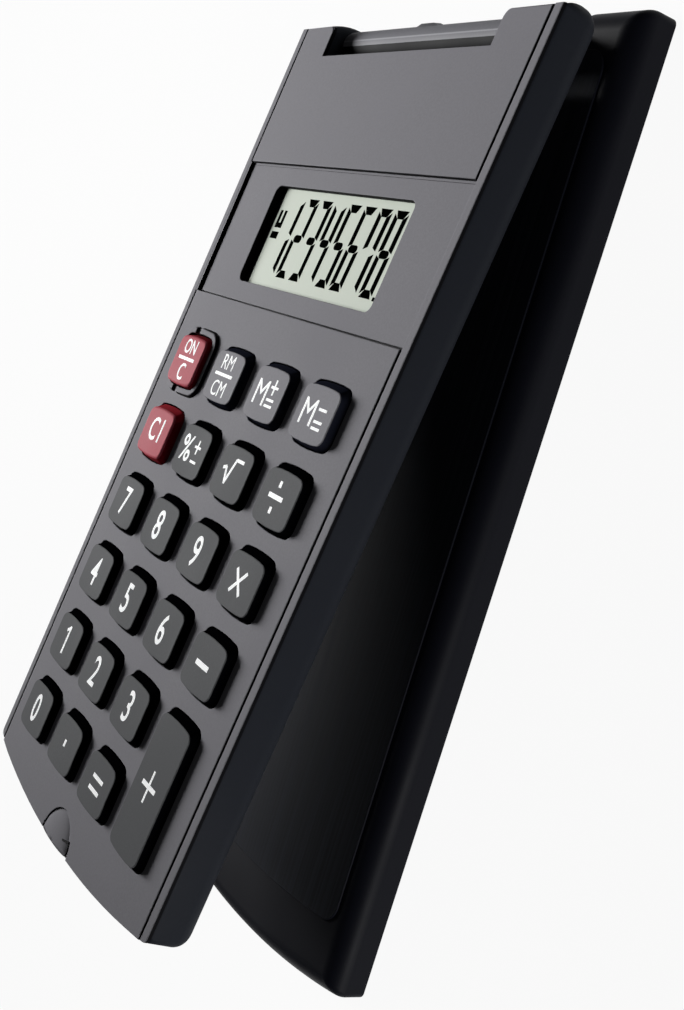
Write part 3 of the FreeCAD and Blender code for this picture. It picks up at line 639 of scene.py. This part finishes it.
def lettering(text: str, height: float, squeeze: float, thin: float) -> Shape:
    """Build flat letters about the origin.

    Args:
        text: the letters.
        height: their height.
        squeeze: share of their natural width that is kept.
        thin: how much the strokes are thinned, as a share of the letter size.

    Returns:
        The letters, as thick as the ink.
    """
    curve = bpy.data.curves.new("letters", "FONT")
    curve.body = text
    curve.offset = -thin
    curve.resolution_u = 5
    carrier = bpy.data.objects.new("letters", curve)
    show(carrier)
    bpy.context.view_layer.update()
    flat = bpy.data.meshes.new_from_object(
        carrier.evaluated_get(bpy.context.evaluated_depsgraph_get()))
    bpy.data.objects.remove(carrier)
    bpy.data.curves.remove(curve)
    shape = bmesh.new()
    shape.from_mesh(flat)
    bpy.data.meshes.remove(flat)
    bmesh.ops.remove_doubles(shape, verts=shape.verts, dist=1e-5)
    low = Vector([min(vert.co[i] for vert in shape.verts) for i in range(3)])
    high = Vector([max(vert.co[i] for vert in shape.verts) for i in range(3)])
    bmesh.ops.translate(shape, vec=-(low + high) / 2, verts=shape.verts)
    size = height / (high.y - low.y)
    bmesh.ops.scale(shape, vec=(size * squeeze, size, 1.0), verts=shape.verts)
    raised = bmesh.ops.extrude_face_region(shape, geom=shape.faces[:])["geom"]
    bmesh.ops.translate(shape, vec=(0, 0, INK_THICKNESS),
                        verts=[item for item in raised if isinstance(item, Vert)])
    bmesh.ops.recalc_face_normals(shape, faces=shape.faces)
    return shape


# Key legends


@dataclass(frozen=True)
class Letters:
    """Printed letters on a key, placed from the key's middle."""

    text: str
    height: float
    x: float = 0.0
    y: float = 0.0
    squeeze: float = 0.86
    thin: float = -0.01

    def build(self) -> Shape:
        """Build the letters."""
        shape = lettering(self.text, self.height, self.squeeze, self.thin)
        bmesh.ops.translate(shape, vec=(self.x, self.y, 0), verts=shape.verts)
        return shape


@dataclass(frozen=True)
class Stroke:
    """Printed straight stroke from one point to another."""

    x0: float
    y0: float
    x1: float
    y1: float
    width: float = 0.42

    def build(self) -> Shape:
        """Build the stroke."""
        length = math.hypot(self.x1 - self.x0, self.y1 - self.y0)
        turn = math.degrees(math.atan2(self.y1 - self.y0, self.x1 - self.x0))
        return block((length, self.width, INK_THICKNESS),
                     ((self.x0 + self.x1) / 2, (self.y0 + self.y1) / 2, INK_THICKNESS / 2),
                     turn=turn)


def bar(x: float, y: float, length: float, width: float = 0.5) -> Stroke:
    """Level stroke about a point."""
    return Stroke(x - length / 2, y, x + length / 2, y, width)


def post(x: float, y: float, length: float, width: float = 0.42) -> Stroke:
    """Upright stroke about a point."""
    return Stroke(x, y - length / 2, x, y + length / 2, width)


def digit(text: str) -> tuple[Letters, ...]:
    """Legend of a number key."""
    return (Letters(text, 4.25, -0.27, -0.1, 0.8),)


LEGENDS = {
    "key_on_clear": (Letters("ON", 2.15, -0.07, 1.85, 0.86), bar(-0.1, 0.0, 5.3, 0.48),
                     Letters("C", 2.55, -0.05, -1.95, 0.87)),
    "key_memory_recall": (Letters("RM", 2.05, -0.24, 1.85, 0.91, 0.0), bar(-0.28, 0.02, 5.3, 0.45),
                          Letters("CM", 2.2, -0.2, -1.95, 0.92, 0.0)),
    "key_memory_plus": (Letters("M", 3.35, -1.4, -0.12, 0.96, 0.0), post(1.55, 0.95, 2.1, 0.36),
                        bar(1.6, 0.95, 1.9, 0.36), bar(1.62, -0.74, 2.0, 0.36),
                        bar(1.65, -1.55, 2.0, 0.36)),
    "key_memory_minus": (Letters("M", 3.35, -1.42, -0.12, 0.96, 0.0), bar(1.67, 0.6, 1.95, 0.36),
                         bar(1.62, -0.97, 2.0, 0.36), bar(1.62, -1.8, 2.0, 0.36)),
    "key_clear_entry": (Letters("C", 3.5, -0.75, 0.2, 0.82), post(1.77, 0.25, 3.5, 0.46)),
    "key_percent": (Letters("%", 3.75, -1.72, 0.06, 0.92), post(1.38, 0.7, 2.0, 0.36),
                    bar(1.4, 0.7, 1.85, 0.36), bar(1.6, -1.38, 1.8, 0.36)),
    "key_square_root": (Stroke(-2.7, 0.12, -1.8, 0.42, 0.46), Stroke(-1.85, 0.45, -0.95, -1.75,
                                                                    0.46),
                        Stroke(-1.0, -1.75, 0.15, 1.75, 0.46), bar(1.15, 1.72, 2.1, 0.46)),
    "key_divide": (bar(-0.34, -0.05, 3.6, 0.6), post(-0.34, 1.6, 0.85, 0.62),
                   post(-0.34, -1.75, 0.85, 0.62)),
    **{"key_" + figure: digit(figure) for figure in "023456789"},
    "key_multiply": (Stroke(-1.75, 1.3, 1.03, -1.7, 0.5), Stroke(-1.75, -1.7, 1.03, 1.3, 0.5)),
    "key_subtract": (bar(-0.25, -0.2, 3.5, 0.7),),
    "key_1": (post(0.0, -0.1, 4.25, 0.52), Stroke(-0.95, 1.2, 0.1, 1.85, 0.46)),
    "key_add": (bar(-0.2, 0.0, 3.9, 0.6), post(-0.2, 0.0, 4.2)),
    "key_point": (post(0.0, 0.0, 1.0, 0.6),),
    "key_equals": (bar(0.1, 0.6, 3.4, 0.55), bar(0.1, -1.05, 3.4, 0.55)),
}


class KeyKind(Enum):
    """The three colours of key: finish of the face, finish of the walls with painted shade, record
    slot.
    """

    DARK = (DARK_KEY_FACE, DARK_KEY_WALL_AND_SHADE, "dark_key")
    LIGHT = (LIGHT_KEY_FACE, LIGHT_KEY_WALL_AND_SHADE, "light_key")
    RED = (RED_KEY_FACE, RED_KEY_WALL_AND_SHADE, "red_key")


@dataclass
class KeyCap:
    """One key: a cap with steep walls and a rounded rim, its flange and its legend."""

    name: str
    x: float
    y: float
    height: float
    kind: KeyKind
    width: float = 8.75
    base_width: float = 9.2
    base_taller: float = 1.1
    base_rise: float = 0.2
    rise: float = 1.1
    crown: float = 0.3
    corner: float = 1.05
    rim: float = 0.16
    rim_steps: int = 4
    flange: float = 0.7
    flange_top: float = -1.45
    flange_bottom: float = -2.05
    foot_radius: float = 1.6
    foot_drop: float = 0.3

    def outline(self, grow: float, z: float, to_base: float = 1.0) -> Outline:
        """Outline of the key.

        Args:
            grow: even margin round it.
            z: its height.
            to_base: 0 for the size of the face, 1 for the size of the base.

        Returns:
            The outline.
        """
        width = self.width + to_base * (self.base_width - self.width)
        return Outline(width + 2 * grow, self.height + to_base * self.base_taller + 2 * grow,
                       self.corner + to_base * 0.4 + grow, z, self.crown + to_base * 0.1,
                       (to_base - 1) * self.base_rise)

    def build_cap(self) -> Shape:
        """Build the cap.

        Returns:
            The cap, with faces of the top numbered 0 and those of the walls 1, which take the
            darker wall colour with its painted shade.
        """
        levels = [self.outline(self.flange, self.flange_bottom),
                  self.outline(self.flange, self.flange_top),
                  self.outline(0.0, self.flange_top), self.outline(0.0, 0.0)]
        for step in range(self.rim_steps + 1):
            turn = math.pi / 2 * step / self.rim_steps
            levels.append(self.outline(self.rim * (math.cos(turn) - 1),
                                       self.rise + self.rim * (math.sin(turn) - 1), 0.0))
        foot = bmesh.new()
        bmesh.ops.create_cone(foot, cap_ends=True, segments=20, radius1=self.foot_radius,
                              radius2=self.foot_radius, depth=self.foot_drop)
        bmesh.ops.translate(foot, vec=(0, 0, self.flange_bottom - self.foot_drop / 2),
                            verts=foot.verts)
        cap = gather([stacked(levels), foot])
        # Below the rim the walls take their darker colour, partly painted shade.
        paint_from = self.rise - self.rim * 0.8
        for face in cap.faces:
            face.material_index = 0 if face.calc_center_median().z > paint_from else 1
        return cap

    def build_print(self) -> Shape:
        """Build the printed legend, lying on the top of the cap."""
        legend = gather([mark.build() for mark in LEGENDS[self.name]])
        bmesh.ops.translate(legend, vec=(0, 0, self.rise), verts=legend.verts)
        return legend

    def dress(self) -> None:
        """Put the key and its print in place."""
        face, wall, slot = self.kind.value
        place = CASE @ Matrix.Translation((self.x, self.y, 0))
        finished(self.name.replace("key_", "cap_"), self.build_cap(), place, (face, wall),
                 self.name, (self.name,))
        finished(self.name.replace("key_", "print_"), self.build_print(), place, (KEY_INK,),
                 self.name)


@dataclass
class Keyboard:
    """The grid of keys."""

    first_row: float = -51.8
    pitch_x: float = 13.0
    pitch_y: float = 11.1
    key_height: float = 7.25
    rows: tuple[tuple[str, ...], ...] = (
        ("on_clear", "memory_recall", "memory_plus", "memory_minus"),
        ("clear_entry", "percent", "square_root", "divide"),
        ("7", "8", "9", "multiply"),
        ("4", "5", "6", "subtract"),
        ("1", "2", "3", "add"),
        ("0", "point", "equals"),
    )

    def kind_of(self, name: str) -> KeyKind:
        """Colour of a key."""
        if name in ("on_clear", "clear_entry"):
            return KeyKind.RED
        return KeyKind.LIGHT if name.startswith("memory") else KeyKind.DARK

    def caps(self) -> list[KeyCap]:
        """List the keys at their places."""
        found = []
        for row, names in enumerate(self.rows):
            for column, name in enumerate(names):
                cap = KeyCap("key_" + name, (column - 1.5) * self.pitch_x,
                             self.first_row - row * self.pitch_y, self.key_height,
                             self.kind_of(name))
                if cap.kind is KeyKind.RED:
                    cap.rim = 0.45
                    cap.rise = 1.25
                    cap.width = 9.0
                if name == "on_clear":
                    cap.y += 0.15
                    cap.width = 8.8
                    cap.base_width = 8.9
                    cap.height += 0.2
                    cap.base_taller = 0.45
                if name == "add":
                    cap.y -= self.pitch_y / 2
                    cap.height += self.pitch_y
                found.append(cap)
        return found

    def dress(self) -> None:
        """Put every key and the mat under them in place."""
        caps = self.caps()
        for cap in caps:
            cap.dress()
        KeypadMat().dress(caps)


@dataclass
class KeypadMat:
    """Rubber mat under the keys: a flat sheet, and a dome under each key's foot."""

    half_width: float = 24.85
    near: float = -46.45
    far: float = -112.65
    bottom: float = -4.1
    top: float = -3.6
    dome_radius: float = 3.0
    dome_top_radius: float = 1.8
    dome_height: float = 1.2
    travel: float = 0.8

    def build_sheet(self) -> Shape:
        """Build the flat sheet."""
        return block((2 * self.half_width, self.near - self.far, self.top - self.bottom),
                     (0, (self.near + self.far) / 2, (self.top + self.bottom) / 2))

    def build_dome(self) -> Shape:
        """Build one dome about the origin of the sheet's top."""
        dome = bmesh.new()
        bmesh.ops.create_cone(dome, cap_ends=True, segments=24, radius1=self.dome_radius,
                              radius2=self.dome_top_radius, depth=self.dome_height)
        bmesh.ops.translate(dome, vec=(0, 0, self.dome_height / 2), verts=dome.verts)
        return dome

    def dress(self, caps: Sequence[KeyCap]) -> None:
        """Put the sheet in place, and a dome under each key.

        Args:
            caps: the keys.
        """
        finished("mat_sheet", self.build_sheet(), CASE, (MAT_RUBBER,), "case",
                 ("keypad_mat",))
        for cap in caps:
            foot = Vector((cap.x, cap.y, self.top))
            dome = finished(cap.name.replace("key_", "dome_"), self.build_dome(),
                            CASE @ Matrix.Translation(foot), (MAT_RUBBER,), "case")
            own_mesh(dome)


# Display

SEGMENTS_ON = {"1": "bc", "2": "abged", "3": "abgcd", "4": "fgbc", "5": "afgcd", "6": "afgedc",
               "7": "fabc", "8": "abcdefg"}


@dataclass
class Display:
    """Liquid crystal display: its glass, dark border, figures and small marks."""

    left: float = -21.1
    right: float = 21.1
    near: float = -22.2
    far: float = -41.7
    top: float = -1.7
    bottom: float = -3.0
    view_half_width: float = 17.0
    view_near: float = -22.6
    view_far: float = -39.4
    figures: str = "12345678"
    pitch: float = 3.826
    first_figure: float = -12.04
    middle: float = -30.7
    figure_width: float = 2.15
    figure_height: float = 10.45
    stroke: float = 1.1
    joint: float = 0.06
    slant: float = 0.042
    upright_share: float = 0.86
    level_cuts: Pair = (0.18, 0.9)
    end_cuts: Pair = (0.4, 1.1)
    middle_cuts: Pair = (0.15, 0.55)
    point_size: float = 0.5
    point_place: Pair = (16.7, -36.35)
    layer: float = 0.015
    marks: tuple[tuple[float, ...], ...] = ((0.72, 2.6, -15.98, -28.3), (0.72, 2.6, -14.72, -28.3),
                                            (0.6, 0.75, -15.35, -29.2),
                                            (2.05, 1.02, -15.38, -30.7))

    def build_glass(self) -> Shape:
        """Build the glass plate with softened edges, its top numbered 0 and its sides 1."""
        glass = block((self.right - self.left, self.near - self.far, self.top - self.bottom),
                      ((self.left + self.right) / 2, (self.near + self.far) / 2,
                       (self.top + self.bottom) / 2), soften=0.08)
        for face in glass.faces:
            face.material_index = 0 if face.normal.z > 0.9 else 1
        return glass

    def build_border(self) -> Shape:
        """Build the dark border round the viewing field, partly the display's own border and
        partly painted shade where the window's wall shades the glass.
        """
        shape = bmesh.new()
        outer = Outline(self.right - self.left - 0.3, self.near - self.far - 0.3, 0.4, 0.0,
                        bow_steps=1, corner_steps=2).draw(shape)
        bmesh.ops.translate(shape, vec=(0, (self.near + self.far) / 2, 0), verts=shape.verts)
        first = set(shape.verts)
        inner = Outline(2 * self.view_half_width, self.view_near - self.view_far, 0.5, 0.0,
                        bow_steps=1, corner_steps=2).draw(shape)
        bmesh.ops.translate(shape, vec=(0, (self.view_near + self.view_far) / 2, 0),
                            verts=[vert for vert in shape.verts if vert not in first])
        bmesh.ops.delete(shape, geom=shape.faces[:], context="FACES_ONLY")
        bmesh.ops.bridge_loops(shape, edges=outer + inner)
        return self.raised(shape, self.top)

    def raised(self, shape: Shape, z: float) -> Shape:
        """Give flat faces the thickness of a printed layer and lift them to a height."""
        grown = bmesh.ops.extrude_face_region(shape, geom=shape.faces[:])["geom"]
        bmesh.ops.translate(shape, vec=(0, 0, self.layer),
                            verts=[item for item in grown
                                   if isinstance(item, Vert)])
        bmesh.ops.recalc_face_normals(shape, faces=shape.faces)
        bmesh.ops.translate(shape, vec=(0, 0, z), verts=shape.verts)
        return shape

    def build_segment(self, shape: Shape, x: float, y: float, length: float,
                      turn: float | None) -> None:
        """Add one segment about a point.

        Args:
            shape: mesh that the segment is added to.
            x: its middle.
            y: its middle.
            length: its length.
            turn: turn of its long outer side from the top, or None for the lens-shaped middle
                segment.
        """
        verts = bmesh.ops.create_grid(shape, x_segments=1, y_segments=1, size=0.5)["verts"]
        bmesh.ops.scale(shape, vec=(length, self.stroke, 1.0), verts=verts)
        if turn is None:
            verts = bmesh.ops.bevel(shape, geom=verts, offset=self.stroke * 0.48, segments=3,
                                    profile=0.5, affect="VERTICES", material=-1)["verts"]
        else:
            for vert in verts:
                if abs(turn) != 90:
                    cuts = self.level_cuts
                elif turn * vert.co.x * y < 0:
                    cuts = self.middle_cuts
                else:
                    cuts = self.end_cuts
                vert.co.x -= math.copysign(cuts[0] if vert.co.y > 0 else cuts[1], vert.co.x)
                if abs(turn) == 90:
                    vert.co.y *= self.upright_share
            bmesh.ops.rotate(shape, cent=(0, 0, 0), verts=verts,
                             matrix=Matrix.Rotation(math.radians(turn), 3, "Z"))
        bmesh.ops.translate(shape, vec=(x, y, 0), verts=verts)

    def build_figure(self, shape: Shape, figure: str, x: float) -> None:
        """Add the lit segments of one figure."""
        half_w = self.figure_width / 2
        half_h = self.figure_height / 2
        level = self.figure_width + self.stroke - 2 * self.joint
        tall = half_h + self.stroke / 2 - 2 * self.joint
        high = tall / 2 + self.joint
        spots = {"a": (0, half_h, level, 0), "g": (0, 0, self.figure_width - 0.02, None),
                 "d": (0, -half_h, level, 180), "b": (half_w, high, tall, -90),
                 "c": (half_w, -high, tall, -90), "e": (-half_w, -high, tall, 90),
                 "f": (-half_w, high, tall, 90)}
        for name in SEGMENTS_ON[figure]:
            self.build_segment(shape, x + spots[name][0], *spots[name][1:])

    def build_figures(self) -> Shape:
        """Build every figure and the point, slanted."""
        shape = bmesh.new()
        for place, figure in enumerate(self.figures):
            self.build_figure(shape, figure, self.first_figure + place * self.pitch)
        for vert in shape.verts:
            vert.co.x += self.slant * vert.co.y
            vert.co.y += self.middle
        dot = bmesh.ops.create_grid(shape, x_segments=1, y_segments=1,
                                    size=self.point_size / 2)["verts"]
        bmesh.ops.translate(shape, vec=(*self.point_place, 0), verts=dot)
        return self.raised(shape, self.top)

    def build_marks(self) -> Shape:
        """Build the small marks left of the figures: error, memory and minus."""
        marks = gather([block((width, height, INK_THICKNESS), (x, y, INK_THICKNESS / 2))
                        for width, height, x, y in self.marks])
        bmesh.ops.translate(marks, vec=(0, 0, self.top), verts=marks.verts)
        return marks

    def dress(self) -> None:
        """Put the display in place."""
        finished("display_glass", self.build_glass(), CASE, (DISPLAY_FACE, DISPLAY_EDGE),
                 "case", ("lcd_panel",))
        for name, shape, finish in (("border", self.build_border(), DISPLAY_EDGE),
                                    ("figures", self.build_figures(), LIQUID_CRYSTAL),
                                    ("marks", self.build_marks(), LIQUID_CRYSTAL)):
            finished("display_" + name, shape, CASE, (finish,), "case")


# Case, link and cover


@dataclass
class CaseShells:
    """Front and rear shell of the case."""

    soften: float = 0.11
    rail_level: float = -0.35
    levels: tuple[float, ...] = (0.0, -0.12, -0.35, -0.75, 0.5)
    level_play: float = 0.14
    near: float = 0.01
    step_depth: float = -0.5
    joint_cut: float = 0.3
    joint_level: float = -0.6
    end_from: float = -113.5
    end_trim: float = 0.4
    trim_none_at: float = 31.0
    trim_fades_over: float = 26.0
    end_y: float = -119.24
    thumb_floor: float = -0.35
    thumb_x: float = -0.85
    thumb_pad_size: Triple = (4.8, 4.6, 0.65)
    groove_floor: float = -1.1
    panel_half: float = 29.1
    rail_half: float = 29.4
    left_panel_edge: float = -28.6
    left_rail_edge: float = -29.7
    right_panel_edge: float = 29.3
    right_rail_edge: float = 29.55
    right_rail_level: float = -0.12

    def is_painted_and_lit(self, face: bmesh.types.BMFace) -> bool:
        """Say whether a face of the front gets the grey paint: a level that looks out, or a step
        that does not face +x; steps facing +x take the dark colour as painted shade.
        """
        height = face.calc_center_median().z
        if abs(face.normal.z) < 0.35:
            # Steps that face +x take the dark colour: painted shade.
            return height > self.step_depth and face.normal.x < 0.5
        return face.normal.z > 0.35 and any(-self.level_play < height - level < 0.02
                                            for level in self.levels)

    def set_grooves(self, front: Shape) -> None:
        """Set the grooves along the rails as wide as they look in the photograph."""
        moves = ((-self.panel_half, self.left_panel_edge), (-self.rail_half, self.left_rail_edge),
                 (self.panel_half, self.right_panel_edge), (self.rail_half, self.right_rail_edge))
        for vert in front.verts:
            for drawn, wanted in moves:
                if abs(vert.co.x - drawn) < self.near and vert.co.z > self.groove_floor:
                    vert.co.x = wanted
                    break
            if (vert.co.x > self.right_panel_edge + self.near
                    and abs(vert.co.z - self.rail_level) < self.near):
                vert.co.z = self.right_rail_level

    def trim_end(self, shell: Shape) -> None:
        """Draw a shell's far end in a little from the left to the middle, less to the right."""
        for vert in shell.verts:
            if vert.co.y < self.end_from:
                share = (self.trim_none_at - vert.co.x) / self.trim_fades_over
                vert.co.y += self.end_trim * min(1.0, max(0.0, share))

    def band_fillets(self) -> list[Shape]:
        """Build the strips that narrow the grooves over and left of the display band."""
        return [block((57.5, 0.3, 0.248), (0.25, -20.95, -0.876)),
                block((0.4, 20.7, 0.64), (-29.5, -31.15, -0.68))]

    def thumb_pad(self) -> Shape:
        """Build the rounded pad in the thumb recess, cut off at the case's end."""
        pad = bmesh.new()
        bmesh.ops.create_uvsphere(pad, u_segments=32, v_segments=16, radius=1.0)
        bmesh.ops.scale(pad, vec=self.thumb_pad_size, verts=pad.verts)
        bmesh.ops.translate(pad, vec=(self.thumb_x, self.end_y, self.thumb_floor - 0.15),
                            verts=pad.verts)
        for point, away in (((0, self.end_y + 0.03, 0), (0, -1, 0)),
                            ((0, 0, self.thumb_floor - 0.1), (0, 0, -1))):
            cut = bmesh.ops.bisect_plane(pad, geom=pad.verts[:] + pad.edges[:] + pad.faces[:],
                                         plane_co=point, plane_no=away, clear_outer=True)
            bmesh.ops.holes_fill(pad, edges=[item for item in cut["geom_cut"]
                                             if isinstance(item, Edge)])
        return pad

    def thumb_slit_shades(self) -> Shape:
        """Build dark blocks at the right end of the thumb recess: painted shade of two slits."""
        return gather([block((2.2, 0.3, 0.38), (3.1, -117.4, -0.2), turn=13.0),
                       block((0.3, 1.7, 0.32), (4.25, -118.1, -0.2), turn=12.0)])

    def shows(self, edge: Edge) -> bool:
        """Say whether an edge borders one of the levels of the front."""
        tops = [face.calc_center_median().z for face in edge.link_faces if face.normal.z > 0.99]
        return any(abs(top - level) < self.near for top in tops for level in self.levels)

    def build_front(self) -> Shape:
        """Build the front with softened edges, grey painted faces numbered 0 and the others 1, the
        dark core with painted shade on steps that face +x.
        """
        front = merged_copy("front_shell", CASE)
        self.set_grooves(front)
        self.trim_end(front)
        front.normal_update()
        soften_edges(front, self.soften, self.shows)
        front = gather([front, *self.band_fillets()])
        front.normal_update()
        for face in front.faces:
            face.material_index = 0 if self.is_painted_and_lit(face) else 1
        # Dark blocks almost flush with the surface: painted shade of the slits.
        slit_shades = self.thumb_slit_shades()
        for face in slit_shades.faces:
            face.material_index = 1
        return gather([front, self.thumb_pad(), slit_shades])

    def build_rear(self) -> Shape:
        """Build the tray, its upper outer edge cut back so that the joint shows as a line."""
        rear = merged_copy("rear_shell", CASE)
        self.trim_end(rear)
        rear.normal_update()

        def at_joint(edge: Edge) -> bool:
            outer = any(abs(vert.co.x) > 30.5 or vert.co.y < -110 for vert in edge.verts)
            return outer and all(abs(vert.co.z - self.joint_level) < self.near
                                 for vert in edge.verts)

        soften_edges(rear, self.joint_cut, at_joint, 1)
        return rear

    def dress(self) -> None:
        """Put the shells in place."""
        finished("rear_tray", self.build_rear(), CASE, (SHELL_PLASTIC,), "case",
                 ("rear_shell",))
        finished("front_face", self.build_front(), CASE, (PANEL_PAINT, PANEL_CORE_AND_SHADE), "case",
                 ("front_shell",))


@dataclass
class Link:
    """Bar between the case and the cover, with a painted highlight line along its top and painted
    shade on its side towards the case.
    """

    highlight_line: Pair = (-1.1, -1.32)
    shade_from: float = -1.95
    bar_radius: float = 2.38
    tab_x: float = -0.8
    tab_share: float = 0.55
    tab_rise: float = 0.7

    def build(self) -> Shape:
        """Build the link: bar numbered 0, painted shade on the side towards the case 1, painted
        highlight line 2.
        """
        link = merged_copy("hinge_link", CASE)
        for level in (*self.highlight_line, self.shade_from):
            bmesh.ops.bisect_plane(link, geom=link.verts[:] + link.edges[:] + link.faces[:],
                                   plane_co=(0, level, 0), plane_no=(0, 1, 0), dist=1e-5)
        for vert in link.verts:
            reach = math.hypot(vert.co.y - CASE_AXIS_IN_CASE.y, vert.co.z - CASE_AXIS_IN_CASE.z)
            on_tab = vert.co.z > CASE_AXIS_IN_CASE.z and abs(vert.co.x - self.tab_x) < 3
            if on_tab and reach > self.bar_radius:
                vert.co.x = self.tab_x + (vert.co.x - self.tab_x) * self.tab_share
                closer = (self.bar_radius + (reach - self.bar_radius) * self.tab_rise) / reach
                vert.co.y += (vert.co.y - CASE_AXIS_IN_CASE.y) * (closer - 1)
                vert.co.z += (vert.co.z - CASE_AXIS_IN_CASE.z) * (closer - 1)
        link.normal_update()
        for face in link.faces:
            middle = face.calc_center_median()
            above = middle.z > CASE_AXIS_IN_CASE.z
            # Painted shade on the side towards the case, painted highlight on the thin line along
            # the top.
            if above and middle.y < self.shade_from:
                face.material_index = 1
            elif above and self.highlight_line[1] < middle.y < self.highlight_line[0]:
                face.material_index = 2
        return link

    def dress(self) -> None:
        """Put the link in place."""
        finished("link_bar", self.build(), CASE, (LINK_PLASTIC, PANEL_CORE_AND_SHADE, LINK_HIGHLIGHT_LINE), "link",
                 ("hinge_link",))


@dataclass
class Cover:
    """Hard cover with its raised brushed panel."""

    soften: float = 0.12
    panel_level: float = 5.8

    def build(self) -> Shape:
        """Build the cover with softened edges, its plain faces numbered 0 and the panel 1."""
        shape = merged_copy("cover", COVER)
        shape.normal_update()
        soften_edges(shape, self.soften, lambda edge: True)
        shape.normal_update()
        for face in shape.faces:
            is_panel = (face.normal.z > 0.99
                        and face.calc_center_median().z > self.panel_level - 0.01)
            face.material_index = 1 if is_panel else 0
        return shape

    def dress(self) -> None:
        """Put the cover in place."""
        finished("cover_shell", self.build(), COVER, (COVER_PLASTIC, COVER_SHEET), "cover",
                 ("cover",))


NODE_FINISHES = {
    "case_screws": SCREW_STEEL, "lcd_connector": CONNECTOR_RUBBER,
    "circuit_board": BOARD, "chip_cover": CHIP_RESIN,
    "button_cell": CELL_STEEL, "cell_contact_plus": CONTACT_METAL,
    "cell_contact_minus": CONTACT_METAL, "case_hinge_pins": PIN_STEEL,
    "cover_hinge_pins": PIN_STEEL,
}


def dress_nodes() -> None:
    """Give the nodes that stay their finishes."""
    for name, finish in NODE_FINISHES.items():
        mesh = frame["nodes"][name].data
        mesh.materials.clear()
        mesh.materials.append(material_of(finish))
        log.info("%s: finish %s", name, finish.name)


# Studio


@dataclass
class Studio:
    """Pale floor, soft lamps and the camera."""

    floor_size: float = 6.0
    floor_colour: Colour = (0.55, 0.55, 0.55, 1.0)
    floor_glow: float = 0.94
    world_level: float = 0.03
    backdrop_level: float = 0.97
    camera_place: Triple = (0.1570297, 0.0197269, 0.1059777)
    camera_turn: Triple = (17.4198, 56.7922, 31.04768)
    lens: float = 47.3983
    shift: Pair = (0.02958, 0.03984)

    def build_floor(self) -> None:
        """Lay the floor."""
        shape = bmesh.new()
        bmesh.ops.create_grid(shape, x_segments=1, y_segments=1, size=self.floor_size / 2)
        mesh = bpy.data.meshes.new("floor")
        shape.to_mesh(mesh)
        shape.free()
        floor = bpy.data.objects.new("floor", mesh)
        show(floor)
        mesh.materials.append(self.floor_paper())

    def floor_paper(self) -> bpy.types.Material:
        """Make the floor's white paper, which glows a little where it is looked at."""
        material = bpy.data.materials.new("floor_paper")
        material.use_nodes = True
        wiring = Wiring(material.node_tree)
        shader = material.node_tree.nodes["Principled BSDF"]
        wiring.feed(shader, {"Base Color": self.floor_colour, "Roughness": 0.9,
                             "Specular IOR Level": 0.1})
        glow = wiring.add("ShaderNodeEmission", {"Color": (1.0, 1.0, 1.0, 1.0),
                                                 "Strength": 1.0})
        rays = wiring.add("ShaderNodeLightPath")
        seen = wiring.maths("MAXIMUM", rays.outputs["Is Camera Ray"],
                            wiring.maths("MAXIMUM", rays.outputs["Is Glossy Ray"],
                                         rays.outputs["Is Transmission Ray"]))
        share = wiring.maths("MULTIPLY", seen, self.floor_glow)
        mixed = wiring.add("ShaderNodeMixShader", {"0": share, "1": shader.outputs[0],
                                                   "2": glow.outputs[0]})
        output = material.node_tree.nodes["Material Output"]
        wiring.feed(output, {"Surface": mixed.outputs[0]})
        return material

    def build_lamp(self, name: str, place: Triple, size: float, power: float, aim: Triple,
                   spread: float) -> None:
        """Hang a square soft lamp.

        Args:
            name: its name.
            place: where it hangs, in metres.
            size: length of its side.
            power: its power in watts.
            aim: the point that it looks at.
            spread: width of its beam in degrees.
        """
        light = bpy.data.lights.new(name, "AREA")
        light.size = size
        light.energy = power
        light.spread = math.radians(spread)
        lamp = bpy.data.objects.new(name, light)
        lamp.location = place
        lamp.rotation_euler = (Vector(aim) - Vector(place)).to_track_quat("-Z", "Y").to_euler()
        show(lamp)

    def build_world(self) -> None:
        """Set the even light that comes from all round, and a white background."""
        world = bpy.data.worlds.new("studio")
        world.use_nodes = True
        wiring = Wiring(world.node_tree)
        rays = wiring.add("ShaderNodeLightPath")
        level = wiring.remap(rays.outputs["Is Camera Ray"], 0.0, 1.0, self.world_level,
                             self.backdrop_level)
        wiring.feed(world.node_tree.nodes["Background"], {"Color": (1, 1, 1, 1),
                                                          "Strength": level})
        bpy.context.scene.world = world

    def build_camera(self) -> None:
        """Set the camera at the photograph's viewing angle."""
        data = bpy.data.cameras.new("camera")
        data.sensor_width = 36.0
        data.lens = self.lens
        data.shift_x, data.shift_y = self.shift
        data.clip_start = 0.005
        data.clip_end = 20.0
        camera = bpy.data.objects.new("camera", data)
        camera.location = self.camera_place
        camera.rotation_euler = tuple(math.radians(turn) for turn in self.camera_turn)
        show(camera)
        bpy.context.scene.camera = camera

    def build(self) -> None:
        """Build the whole studio."""
        self.build_floor()
        self.build_world()
        self.build_lamp("key_lamp", (-0.62, 0.04, 0.3), 0.26, 0.66, (0.0, 0.08, 0.0), 40.0)
        self.build_lamp("side_lamp", (0.4, -0.2, 0.035), 0.06, 0.8, (0.0, 0.0, -0.02), 180.0)
        self.build_camera()
        bpy.context.scene.view_settings.view_transform = "Standard"


def main() -> None:
    """Build the calculator and the studio."""
    logging.basicConfig(level=logging.INFO, format="%(message)s")
    Studio().build()
    CaseShells().dress()
    Display().dress()
    Keyboard().dress()
    Link().dress()
    Cover().dress()
    dress_nodes()


if __name__ == "__main__":
    main()
